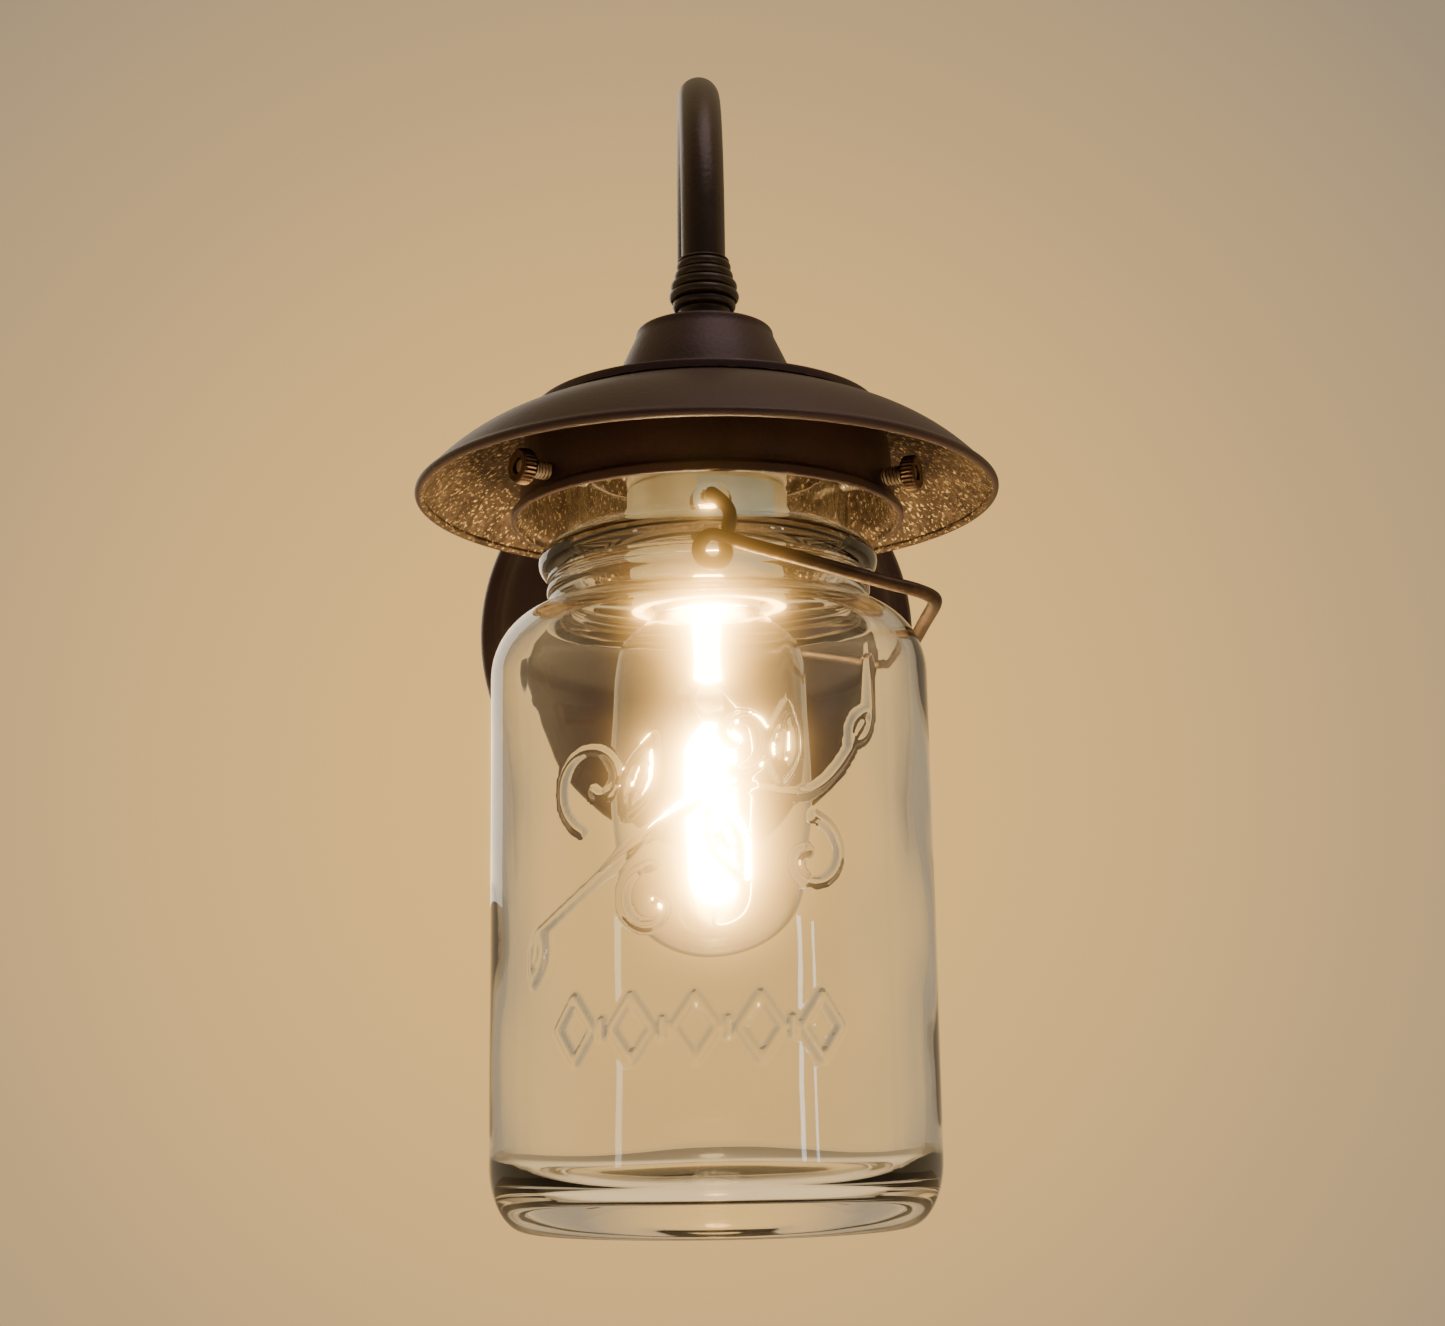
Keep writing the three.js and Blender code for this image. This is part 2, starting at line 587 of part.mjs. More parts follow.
function makeBulb() {
  const glassWall = 0.8;
  const neck = 11.4;
  const outline = (inset) => [
    [neck - inset, -10],
    [neck - inset, capBottomZ - 0.4],
    [neck + 2.8 - inset, -26.6],
    [neck + 7.2 - inset, -30],
    [bulbRadius - 1.2 - inset, -35],
    [bulbRadius - inset, -40.5],
    [bulbRadius - inset, -72.8],
    [bulbRadius - 1 - inset, -84],
    ...arc(0, -86, bulbRadius - 1.6 - inset, -(bulbBottomZ + 86) - inset, -12, -90, 4),
  ];
  const outer = outline(0);
  const inner = outline(glassWall);
  outer[outer.length - 1][0] = 0;
  inner[inner.length - 1][0] = 0;
  const glass = [...outer.slice().reverse(), ...inner];
  add(lamp, 'bulb_glass', turned(glass, 16), clearGlass);

  // lamp cap with rolled thread, over the neck
  const crest = capRadius;
  const root = capRadius - 0.6;
  const outside = [[root, capBottomZ], [root, -21.4]];
  for (let i = 0; i < 4; i += 1) {
    const z = -21.4 + (i + 0.5) * threadPitch;
    outside.push([crest, z], [root, z + threadPitch / 2]);
  }
  const lastZ = outside[outside.length - 1][1];
  const inside = [[root - 0.6, capBottomZ], [root - 0.6, lastZ - 0.6]];
  const cap = shell(
    [...outside, [9, capTopZ]],
    [...inside, [8.6, capTopZ - 0.6]],
  );
  add(lamp, 'bulb_cap', turned(cap, 16), aluminium);
  const insulator = [
    [0, capTopZ + gap], [8.4, capTopZ + gap], [8.2, capTopZ + 1], [6, -2.2], [5, -1.8], [0, -1.8],
  ];
  add(lamp, 'bulb_insulator', turned(insulator, 14), blackPlastic);
  const button = [[0, -1.8 + gap], [4.6, -1.8 + gap], [4.2, -0.6], [0, -gap]];
  add(lamp, 'bulb_contact', turned(button, 14), zincSteel);

  // glass stem with the halogen capsule hung under it on two wires
  const stem = [
    [0, -14], [9.6, -14], [9.8, -15], [6, -17], [3.6, -22], [3, -38], [3.4, -42], [0, -43],
  ];
  add(lamp, 'bulb_stem', turned(stem, 14), clearGlass);
  const capsuleTop = -52;
  const capsuleBottom = -92;
  const capsuleRadius = 5.6;
  const wall = 0.8;
  const capsuleOutline = (inset) => [
    [2, capsuleTop - inset],
    [capsuleRadius - inset, capsuleTop - 4],
    [capsuleRadius - inset, capsuleBottom + capsuleRadius],
    ...arc(0, capsuleBottom + capsuleRadius, capsuleRadius - inset, capsuleRadius - inset, -15, -90, 4),
  ];
  const capsuleOuter = capsuleOutline(0);
  const capsuleInner = capsuleOutline(wall);
  capsuleOuter[capsuleOuter.length - 1][0] = 0;
  capsuleInner[capsuleInner.length - 1][0] = 0;
  add(lamp, 'bulb_capsule', turned([...capsuleOuter.slice().reverse(), ...capsuleInner], 12), clearGlass);

  const point = (x, z) => new THREE.Vector3(x, 0, z);
  const long = new THREE.CatmullRomCurve3([
    point(2, -43.6), point(4.6, -46), point(8.6, -52), point(8.8, -72), point(8.4, -90), point(5, -95.4),
    point(0, -96.6),
  ], false, 'centripetal');
  add(lamp, 'bulb_wire_long', tube(long, 0.5, 14, 5), zincSteel);
  const short = new THREE.CatmullRomCurve3([
    point(-2, -43.6), point(-3.4, -45.6), point(-3.4, -48), point(-2.4, -51.2),
  ], false, 'centripetal');
  add(lamp, 'bulb_wire_short', tube(short, 0.5, 6, 5), zincSteel);

  const coilTop = -60;
  const coilBottom = -85;
  const turns = 6;
  const coil = [point(0, -50), point(0, -56)];
  for (let i = 0; i <= turns * 8; i += 1) {
    const angle = (i / 8) * Math.PI * 2;
    const z = coilTop + ((coilBottom - coilTop) * i) / (turns * 8);
    coil.push(new THREE.Vector3(1.8 * Math.cos(angle), 1.8 * Math.sin(angle), z));
  }
  const coilCurve = new THREE.CatmullRomCurve3(coil, false, 'centripetal');
  add(lamp, 'bulb_filament', tube(coilCurve, 0.4, 60, 3), glowingWire);
}

makeBulb();

// ---------- jar and its lever wire ----------

function makeJar() {
  const outside = [
    ...arc(heel.r, heel.z, heel.a, heel.b, -84, 0, 4),
    ...arc(shoulder.r, shoulder.z, shoulder.a, shoulder.b, 0, 82, 4),
    [jarNeckRadius, -24.8],
    [jarNeckRadius, beadZ - beadHalfHeight],
    ...arc(jarNeckRadius - 2, beadZ, beadRadius - jarNeckRadius + 2, beadHalfHeight - 0.3, -60, 75, 4),
    [jarRimRadius + 0.6, beadZ + beadHalfHeight],
    [jarRimRadius, beadZ + beadHalfHeight + 1],
    ...arc(jarRimRadius - 1.4, jarRimTopZ - 1.4, 1.4, 1.4, 0, 90, 2),
  ];
  const bore = jarRimRadius - jarWall;
  const inside = [
    [0, jarBottomZ + 11],
    [20, jarBottomZ + 10.4],
    [32, jarBottomZ + 8.2],
    ...arc(38.6, jarBottomZ + 16, jarRadius - jarWall - 38.6, 8, -78, 0, 3),
    ...arc(shoulder.r, shoulder.z, shoulder.a - jarWall, shoulder.b - jarWall, 0, 84, 3),
    [jarNeckRadius - jarWall, -26],
    [jarNeckRadius - jarWall, -15],
    [bore, -9],
    ...arc(bore + 1, jarRimTopZ - 1, 1, 1, 180, 90, 1),
  ];
  const foot = [[0, jarBottomZ + 3], [34, jarBottomZ + 2.4], [37, jarBottomZ], [heel.r, jarBottomZ]];
  const profile = [...foot, ...outside, ...inside.slice().reverse()];
  let glass = solidOf(turned(profile, 28));
  const across = (radius, from, to, side) => {
    const length = to - from;
    const peg = new THREE.CylinderGeometry(radius, radius, length, 16);
    return solidOf(peg.translate(0, side * (from + length / 2), pivotZ));
  };
  for (const side of [-1, 1]) {
    glass = glass.add(across(pivotBoss.radius, pivotBoss.inner, pivotBoss.outer, side));
    glass = glass.subtract(across(pivotHole.radius, pivotHole.bottom, pivotBoss.outer + 4, side));
  }
  addSolid(lamp, 'jar', glass, clearGlass);
}

// The lever is one wire: it hooks into a hole in front, drops behind its own arm, goes most of
// a turn round an eye, runs down to the right, crosses over the shoulder and comes back the
// same way behind.
function makeLever() {
  const half = []; // front half, from the pivot to the middle of the closed end
  const at = (x, depth, z) => new THREE.Vector3(x, -depth, z);
  half.push(at(0, pivotHole.bottom + gap, pivotZ));
  half.push(at(0, wirePlane - 1.6, pivotZ));
  half.push(at(0.6, wirePlane, pivotZ - 0.8));
  half.push(at(3.2, wirePlane + 0.1, pivotZ - 3.4));
  half.push(at(3.6, wirePlane + 0.1, pivotZ - 7));
  const turnsOfEye = 0.81;
  const stepsOfEye = 11;
  const pitch = 2 * wireRadius + gap; // each turn of the eye lies beside the last
  for (let i = 0; i <= stepsOfEye; i += 1) {
    const turn = (i / stepsOfEye) * turnsOfEye;
    const angle = Math.PI * 0.12 - turn * Math.PI * 2;
    const depth = wirePlane + turn * pitch;
    half.push(at(eyeRadius * Math.cos(angle), depth, eyeZ + eyeRadius * Math.sin(angle)));
  }
  half.push(at(6, wirePlane + 2.2, eyeZ + 1.4));
  half.push(at(20, wirePlane + 1.2, eyeZ - 2.4));
  half.push(at(leverEnd.x - 6, wirePlane, leverEnd.z + 1.4));
  half.push(at(leverEnd.x - 1, wirePlane - 1.4, leverEnd.z + 0.2));
  half.push(at(leverEnd.x, wirePlane - 6, leverEnd.z));
  half.push(at(leverEnd.x, 18, leverEnd.z));
  half.push(at(leverEnd.x, 0, leverEnd.z));
  const back = half.slice(0, -1).reverse().map((p) => new THREE.Vector3(p.x, -p.y, p.z));
  const curve = new THREE.CatmullRomCurve3([...half, ...back], false, 'centripetal');
  add(lamp, 'lever_wire', tube(curve, wireRadius, 92, 6), darkSteel);
}

makeJar();
makeLever();

export default object;
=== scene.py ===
import math

import bmesh
import bpy
import numpy as np
from mathutils import Matrix, Vector


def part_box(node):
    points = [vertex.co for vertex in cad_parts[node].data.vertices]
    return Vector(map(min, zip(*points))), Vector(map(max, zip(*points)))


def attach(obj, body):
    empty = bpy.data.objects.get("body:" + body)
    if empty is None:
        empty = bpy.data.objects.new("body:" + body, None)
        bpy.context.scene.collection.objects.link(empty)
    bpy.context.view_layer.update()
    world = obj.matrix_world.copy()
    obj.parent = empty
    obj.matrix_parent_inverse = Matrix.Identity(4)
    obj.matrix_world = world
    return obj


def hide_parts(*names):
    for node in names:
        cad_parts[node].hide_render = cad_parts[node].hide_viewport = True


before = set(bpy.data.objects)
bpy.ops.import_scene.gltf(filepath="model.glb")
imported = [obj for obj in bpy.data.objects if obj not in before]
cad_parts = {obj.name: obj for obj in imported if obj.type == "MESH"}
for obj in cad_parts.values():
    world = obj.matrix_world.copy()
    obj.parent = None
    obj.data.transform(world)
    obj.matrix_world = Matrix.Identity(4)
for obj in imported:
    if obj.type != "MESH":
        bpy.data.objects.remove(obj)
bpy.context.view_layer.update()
scene = bpy.context.scene
mm = 0.001

# camera, floor and light
viewpoint = {
    "lens": 53.86,  # mm, on a 36 mm wide sensor
    "place": (-0.0117, -0.6247, -0.1328),
    "pitch": 11.25,  # degrees above level
    "turn": -1.753,  # degrees about the vertical
    "roll": -0.90,
}


def makeCamera(view):
    data = bpy.data.cameras.new("viewCamera")
    data.lens = view["lens"]
    data.sensor_width = 36
    camera = bpy.data.objects.new("viewCamera", data)
    scene.collection.objects.link(camera)
    heading = Matrix.Rotation(math.radians(view["turn"]), 4, "Z")
    tilt = Matrix.Rotation(math.radians(90 + view["pitch"]), 4, "X")
    lean = Matrix.Rotation(math.radians(view["roll"]), 4, "Z")
    camera.matrix_world = Matrix.Translation(view["place"]) @ heading @ tilt @ lean
    scene.camera = camera


makeCamera(viewpoint)
print("camera set")

studio = {
    "floorDrop": 0.5,  # below the jar
    "floorSize": 8.0,
    "skyAim": (0.0, 0.98, 0.14),  # where the pale wall is brightest
    # how far toward that place, colour
    "skyTones": (
        (0.00, (0.10, 0.09, 0.09)), (0.34, (0.22, 0.17, 0.12)), (0.58, (0.66, 0.46, 0.23)),
        (0.94, (0.40, 0.31, 0.20)), (0.97, (0.72, 0.47, 0.21)), (0.995, (1.20, 0.70, 0.20)),
        (1.00, (1.26, 0.74, 0.21)),
    ),
    "skyStrength": 1.0,
}

softLights = {
    # name: place, what it faces, width, height, watts, colour
    "coolStrip": ((0.79, -1.05, -0.10), (0, -0.145, -0.10), 0.05, 0.20, 0.40, (0.80, 0.90, 1.0)),
    "coolStripTwo": ((0.92, -0.96, -0.10), (0, -0.145, -0.10), 0.03, 0.20, 0.22, (0.80, 0.90, 1.0)),
    "warmStrip": ((-0.90, -0.93, -0.10), (0, -0.145, -0.10), 0.07, 0.20, 0.30, (1.0, 0.92, 0.80)),
    "topLight": ((0.25, -0.5, 1.0), (0, -0.145, 0), 0.7, 0.7, 3.2, (1.0, 0.80, 0.84)),
    "backLight": ((-0.5, 0.9, 0.4), (0, -0.145, 0), 0.8, 0.8, 3.0, (1.0, 0.92, 0.80)),
    "floorLight": ((0.0, -0.3, -0.25), (0, -0.3, -1), 3.0, 3.0, 30.0, (1.0, 0.72, 0.38)),
}

bulbLight = {"height": -0.072, "radius": 0.005, "watts": 0.17, "color": (1.0, 0.72, 0.34)}


def makeSky(look):
    world = bpy.data.worlds.new("paleSky")
    scene.world = world
    world.use_nodes = True
    nodes = world.node_tree.nodes
    links = world.node_tree.links
    nodes.clear()
    coordinates = nodes.new("ShaderNodeTexCoord")
    coordinates.location = (-800, 0)
    toward = nodes.new("ShaderNodeVectorMath")
    toward.label = "How far toward the bright place"
    toward.location = (-600, 0)
    toward.operation = "DOT_PRODUCT"
    toward.inputs[1].default_value = look["skyAim"]
    share = nodes.new("ShaderNodeMapRange")
    share.label = "From behind to ahead"
    share.location = (-420, 0)
    share.inputs["From Min"].default_value = -1
    tones = nodes.new("ShaderNodeValToRGB")
    tones.label = "Room tones"
    tones.location = (-240, 0)
    steps = tones.color_ramp.elements
    for position, color in look["skyTones"][1:-1]:
        steps.new(position)
    for step, (position, color) in zip(steps, look["skyTones"]):
        step.position = position
        step.color = (*color, 1)
    background = nodes.new("ShaderNodeBackground")
    background.location = (60, 0)
    background.inputs["Strength"].default_value = look["skyStrength"]
    output = nodes.new("ShaderNodeOutputWorld")
    output.location = (260, 0)
    links.new(coordinates.outputs["Generated"], toward.inputs[0])
    links.new(toward.outputs["Value"], share.inputs["Value"])
    links.new(share.outputs["Result"], tones.inputs["Fac"])
    links.new(tones.outputs["Color"], background.inputs["Color"])
    links.new(background.outputs["Background"], output.inputs["Surface"])


def makeLights(rows):
    for name, (place, target, width, height, watts, color) in rows.items():
        data = bpy.data.lights.new(name, "AREA")
        data.shape = "RECTANGLE"
        data.size = width
        data.size_y = height
        data.energy = watts
        data.color = color
        light = bpy.data.objects.new(name, data)
        scene.collection.objects.link(light)
        aim = Vector(place) - Vector(target)
        light.matrix_world = Matrix.Translation(place) @ aim.to_track_quat("Z", "Y").to_matrix().to_4x4()
        light.visible_camera = False
        light.visible_transmission = False


def makeBulbLight(look, y):
    # the light that the lit capsule sheds, from a small sphere at its middle
    data = bpy.data.lights.new("bulbLight", "POINT")
    data.energy = look["watts"]
    data.color = look["color"]
    data.shadow_soft_size = look["radius"]
    light = bpy.data.objects.new("bulbLight", data)
    scene.collection.objects.link(light)
    light.location = (0, y, look["height"])
    light.visible_camera = False
    light.visible_transmission = False


glare = {"threshold": 1.5, "strength": 9.0, "size": 0.09, "tint": (1.0, 0.74, 0.36)}


def makeGlare(look):
    # light that spreads in the lens round very bright places
    scene.use_nodes = True
    nodes = scene.node_tree.nodes
    links = scene.node_tree.links
    nodes.clear()
    layers = nodes.new("CompositorNodeRLayers")
    layers.location = (-400, 0)
    bloom = nodes.new("CompositorNodeGlare")
    bloom.location = (-100, 0)
    bloom.glare_type = "BLOOM"
    bloom.quality = "HIGH"
    bloom.inputs["Threshold"].default_value = look["threshold"]
    bloom.inputs["Strength"].default_value = look["strength"]
    bloom.inputs["Tint"].default_value = (*look["tint"], 1)
    bloom.inputs["Size"].default_value = look["size"]
    composite = nodes.new("CompositorNodeComposite")
    composite.location = (200, 0)
    links.new(layers.outputs["Image"], bloom.inputs["Image"])
    links.new(bloom.outputs["Image"], composite.inputs["Image"])


# where things are
shadeLow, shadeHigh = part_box("saucer_shade")
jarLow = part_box("jar")[0]
lampY = (shadeLow.y + shadeHigh.y) / 2


# surfaces
def rounded(corners, steps=5):
    # rows of radius, height, fillet in mm: each corner becomes a curve from one fillet before it
    # to one after it, (1-t)^2 before + 2t(1-t) corner + t^2 after
    table = np.array([row if len(row) == 3 else (*row, 0) for row in corners], float)
    corner = table[:, :2]
    back = np.roll(corner, 1, 0) - corner
    ahead = np.roll(corner, -1, 0) - corner
    backLength = np.linalg.norm(back, axis=1) + 1e-9
    aheadLength = np.linalg.norm(ahead, axis=1) + 1e-9
    reach = np.minimum(table[:, 2], 0.48 * np.minimum(backLength, aheadLength))
    before = corner + back * (reach / backLength)[:, None]
    after = corner + ahead * (reach / aheadLength)[:, None]
    t = np.linspace(0, 1, steps)[None, :, None]
    curve = (1 - t) ** 2 * before[:, None] + 2 * t * (1 - t) * corner[:, None] + t**2 * after[:, None]
    return withoutRepeats(curve.reshape(-1, 2))


def withoutRepeats(rows):
    step = np.linalg.norm(np.diff(rows, axis=0), axis=1)
    return rows[np.concatenate([[True], step > 1e-5])]


def ellipseArc(r, z, a, b, start, end, count):
    # r + a cos t, z + b sin t, for t from start to end in degrees
    t = np.radians(np.linspace(start, end, count))
    return np.stack([r + a * np.cos(t), z + b * np.sin(t)], 1)


def filled(rows, step):
    # the same line with points added so that none are further apart than step
    length = np.concatenate([[0], np.cumsum(np.linalg.norm(np.diff(rows, axis=0), axis=1))])
    extra = np.arange(0, length[-1], step)
    places = np.union1d(length, extra)
    return np.stack([np.interp(places, length, rows[:, k]) for k in range(rows.shape[1])], 1)


def edgeAmount(profile):
    # how sharply the outline turns outwards at each point: bend over length, from 0 flat to 1 sharp
    back = profile - np.roll(profile, 1, 0)
    ahead = np.roll(profile, -1, 0) - profile
    turn = np.arctan2(
        back[:, 0] * ahead[:, 1] - back[:, 1] * ahead[:, 0],
        (back * ahead).sum(1),
    )
    length = (np.linalg.norm(back, axis=1) + np.linalg.norm(ahead, axis=1)) / 2 + 1e-6
    bend = np.clip(turn * np.sign(turn.sum()) / length, 0, None)
    return bend / (bend + 0.8)


def axes(direction):
    # two directions square to an axis, and the axis
    w = np.array(direction, float) / np.linalg.norm(direction)
    side = np.array([1.0, 0, 0]) if abs(w[0]) < 0.9 else np.array([0, 0, 1.0])
    u = side - w * side.dot(w)
    u /= np.linalg.norm(u)
    return np.stack([u, np.cross(w, u), w])


def spun(profile, around=96, origin=(0, lampY, 0), axis=(0, 0, 1), angles=None, relief=None):
    # a closed outline carried round an axis: origin + (r + relief) (u cos a + v sin a) + h w
    if angles is None:
        angles = np.linspace(0, 2 * np.pi, around, endpoint=False)
    a = angles[:, None]
    r = np.broadcast_to(profile[None, :, 0], (len(angles), len(profile)))
    h = np.broadcast_to(profile[None, :, 1], r.shape)
    if relief is not None:
        r = np.where(r > 1e-6, r + relief(a, r, h), 0)
    u, v, w = axes(axis)
    grid = (r * np.cos(a))[..., None] * u + (r * np.sin(a))[..., None] * v + h[..., None] * w
    places = np.array(origin) + grid * mm
    edge = np.broadcast_to(edgeAmount(profile), r.shape)
    return places, edge, True


def swept(path, radius, sides=20, guide=(0.5, -0.6, 0.62)):
    # a round section along a path of points in mm; the guide direction sets how each ring is turned
    ahead = np.gradient(path, axis=0)
    ahead /= np.linalg.norm(ahead, axis=1)[:, None]
    side = np.cross(ahead, np.array(guide, float))
    side /= np.linalg.norm(side, axis=1)[:, None]
    up = np.cross(side, ahead)
    a = np.linspace(0, 2 * np.pi, sides, endpoint=False)[:, None, None]
    reach = np.broadcast_to(radius, len(path))
    # the two ends close on their centres
    path = np.concatenate([path[:1], path, path[-1:]])
    side = np.concatenate([side[:1], side, side[-1:]])
    up = np.concatenate([up[:1], up, up[-1:]])
    reach = np.concatenate([[0], reach, [0]])[None, :, None]
    places = (path[None] + reach * (side[None] * np.cos(a) + up[None] * np.sin(a))) * mm
    return places, np.zeros(places.shape[:2]), False


def curveThrough(points, count):
    # a natural cubic spline through the points, measured along the straight lines between them
    points = np.array(points, float)
    gap = np.linalg.norm(np.diff(points, axis=0), axis=1) ** 0.5
    knot = np.concatenate([[0], np.cumsum(gap)])
    n = len(points)
    system = np.eye(n)
    right = np.zeros((n, 3))
    inner = np.arange(1, n - 1)
    system[inner, inner - 1] = gap[:-1]
    system[inner, inner] = 2 * (gap[:-1] + gap[1:])
    system[inner, inner + 1] = gap[1:]
    slope = np.diff(points, axis=0) / gap[:, None]
    right[1:-1] = 6 * np.diff(slope, axis=0)
    bend = np.linalg.solve(system, right)
    t = np.linspace(0, knot[-1], count)
    k = np.clip(np.searchsorted(knot, t, side="right") - 1, 0, n - 2)
    a = ((knot[k + 1] - t) / gap[k])[:, None]
    b = 1 - a
    curl = ((a**3 - a) * bend[k] + (b**3 - b) * bend[k + 1]) * (gap[k] ** 2)[:, None] / 6
    return a * points[k] + b * points[k + 1] + curl


def makePiece(name, surface, finish, body, stands=(), sharp=38, secondFinish=None, secondRows=None,
              castsShadow=True):
    # a grid of places becomes a closed mesh of four-cornered faces, welded at its seams and poles
    places, edge, wraps = surface
    rows, columns = places.shape[:2]
    index = np.arange(rows * columns).reshape(rows, columns)
    lower = index
    upper = np.roll(index, -1, 0)
    if wraps:
        nextLower, nextUpper = np.roll(lower, -1, 1), np.roll(upper, -1, 1)
    else:
        lower, upper, nextLower, nextUpper = lower[:, :-1], upper[:, :-1], lower[:, 1:], upper[:, 1:]
    quads = np.stack([lower, upper, nextUpper, nextLower], -1).reshape(-1, 4)
    mesh = bpy.data.meshes.new(name)
    mesh.from_pydata(places.reshape(-1, 3), [], quads)
    wear = mesh.attributes.new("edgeWear", "FLOAT", "POINT")
    wear.data.foreach_set("value", edge.astype(np.float32).ravel())
    if secondRows is not None:
        second = np.broadcast_to(secondRows, lower.shape).astype(np.int32).ravel()
        mesh.polygons.foreach_set("material_index", second)
    shape = bmesh.new()
    shape.from_mesh(mesh)
    bmesh.ops.remove_doubles(shape, verts=shape.verts, dist=2e-6)
    bmesh.ops.dissolve_degenerate(shape, edges=shape.edges, dist=1e-7)
    bmesh.ops.recalc_face_normals(shape, faces=shape.faces)
    shape.to_mesh(mesh)
    shape.free()
    mesh.polygons.foreach_set("use_smooth", [True] * len(mesh.polygons))
    mesh.set_sharp_from_angle(angle=math.radians(sharp))
    mesh.materials.append(finish)
    if secondFinish is not None:
        mesh.materials.append(secondFinish)
    piece = bpy.data.objects.new(name, mesh)
    scene.collection.objects.link(piece)
    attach(piece, body)
    if stands:
        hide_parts(*stands)
    piece.visible_shadow = castsShadow


# finishes
def startMaterial(name, surfaceLabel):
    # a material that so far holds where each place is on the piece, one surface and the output
    material = bpy.data.materials.new(name)
    material.use_nodes = True
    nodes = material.node_tree.nodes
    links = material.node_tree.links
    nodes.clear()
    coordinates = nodes.new("ShaderNodeTexCoord")
    coordinates.label = "Place on the piece"
    coordinates.location = (-1500, 0)
    surface = nodes.new("ShaderNodeBsdfPrincipled")
    surface.label = surfaceLabel
    surface.location = (-200, 0)
    output = nodes.new("ShaderNodeOutputMaterial")
    output.label = "Out"
    output.location = (120, 0)
    links.new(surface.outputs["BSDF"], output.inputs["Surface"])
    return material, nodes, links, coordinates, surface


def addTones(nodes, links, coordinates, label, scale, detail, roughness, stops):
    # noise over the piece, and a ramp that makes tones of it: each stop is a place on the ramp and a tone
    group = nodes.new("NodeFrame")
    group.label = label
    noise = nodes.new("ShaderNodeTexNoise")
    noise.label = "Clouds"
    noise.location = (-1200, 260)
    noise.parent = group
    noise.inputs["Scale"].default_value = scale
    noise.inputs["Detail"].default_value = detail
    noise.inputs["Roughness"].default_value = roughness
    ramp = nodes.new("ShaderNodeValToRGB")
    ramp.label = "Tones"
    ramp.location = (-980, 260)
    ramp.parent = group
    for element, (place, tone) in zip(ramp.color_ramp.elements, stops):
        element.position = place
        element.color = (*tone, 1)
    links.new(coordinates.outputs["Object"], noise.inputs["Vector"])
    links.new(noise.outputs["Fac"], ramp.inputs["Fac"])
    return noise, ramp


def addGrain(nodes, links, vector, surface, label, scale, detail, strength, height):
    # noise that stands up from the surface as a bump
    group = nodes.new("NodeFrame")
    group.label = label
    noise = nodes.new("ShaderNodeTexNoise")
    noise.label = "Grain"
    noise.location = (-880, -480)
    noise.parent = group
    noise.inputs["Scale"].default_value = scale
    noise.inputs["Detail"].default_value = detail
    bump = nodes.new("ShaderNodeBump")
    bump.label = "Height of the grain"
    bump.location = (-520, -480)
    bump.parent = group
    bump.inputs["Strength"].default_value = strength
    bump.inputs["Distance"].default_value = height
    links.new(vector, noise.inputs["Vector"])
    links.new(noise.outputs["Fac"], bump.inputs["Height"])
    links.new(bump.outputs["Normal"], surface.inputs["Normal"])


def bronzeFinish(name, darkTone, lightTone, wornTone, roughness, metallic):
    # painted bronze: slow changes of tone, a fine orange peel, and bare metal showing on turned edges
    material, nodes, links, coordinates, surface = startMaterial(name, "Bronze paint")
    toneStops = ((0.32, darkTone), (0.72, lightTone))
    toneNoise, toneRamp = addTones(nodes, links, coordinates, "Tone of the paint", 38, 5, 0.6, toneStops)
    addGrain(nodes, links, coordinates.outputs["Object"], surface, "Orange peel", 900, 3, 0.22, 0.0004)
    wearFrame = nodes.new("NodeFrame")
    wearFrame.label = "Worn edges"
    edge = nodes.new("ShaderNodeAttribute")
    edge.label = "How sharp the edge is"
    edge.location = (-1200, -60)
    edge.parent = wearFrame
    edge.attribute_name = "edgeWear"
    wearNoise = nodes.new("ShaderNodeTexNoise")
    wearNoise.label = "Broken wear"
    wearNoise.location = (-1200, -240)
    wearNoise.parent = wearFrame
    wearNoise.inputs["Scale"].default_value = 260
    wearNoise.inputs["Detail"].default_value = 6
    wearAmount = nodes.new("ShaderNodeMath")
    wearAmount.label = "Edge times noise"
    wearAmount.location = (-980, -120)
    wearAmount.parent = wearFrame
    wearAmount.operation = "MULTIPLY"
    wearRamp = nodes.new("ShaderNodeMapRange")
    wearRamp.label = "Where paint has gone"
    wearRamp.location = (-800, -120)
    wearRamp.parent = wearFrame
    wearRamp.inputs["From Min"].default_value = 0.40
    wearRamp.inputs["From Max"].default_value = 0.66
    wearMix = nodes.new("ShaderNodeMix")
    wearMix.label = "Bare metal on edges"
    wearMix.location = (-560, 160)
    wearMix.data_type = "RGBA"
    wearMix.inputs["B"].default_value = (*wornTone, 1)
    roughRange = nodes.new("ShaderNodeMapRange")
    roughRange.label = "Satin to duller patches"
    roughRange.location = (-560, -160)
    roughRange.inputs["To Min"].default_value = roughness - 0.07
    roughRange.inputs["To Max"].default_value = roughness + 0.12
    surface.inputs["Metallic"].default_value = metallic
    surface.inputs["Coat Weight"].default_value = 0.06
    surface.inputs["Coat Roughness"].default_value = 0.25
    links.new(coordinates.outputs["Object"], wearNoise.inputs["Vector"])
    links.new(edge.outputs["Fac"], wearAmount.inputs[0])
    links.new(wearNoise.outputs["Fac"], wearAmount.inputs[1])
    links.new(wearAmount.outputs["Value"], wearRamp.inputs["Value"])
    links.new(wearRamp.outputs["Result"], wearMix.inputs["Factor"])
    links.new(toneRamp.outputs["Color"], wearMix.inputs["A"])
    links.new(wearMix.outputs["Result"], surface.inputs["Base Color"])
    links.new(toneNoise.outputs["Fac"], roughRange.inputs["Value"])
    links.new(roughRange.outputs["Result"], surface.inputs["Roughness"])
    return material


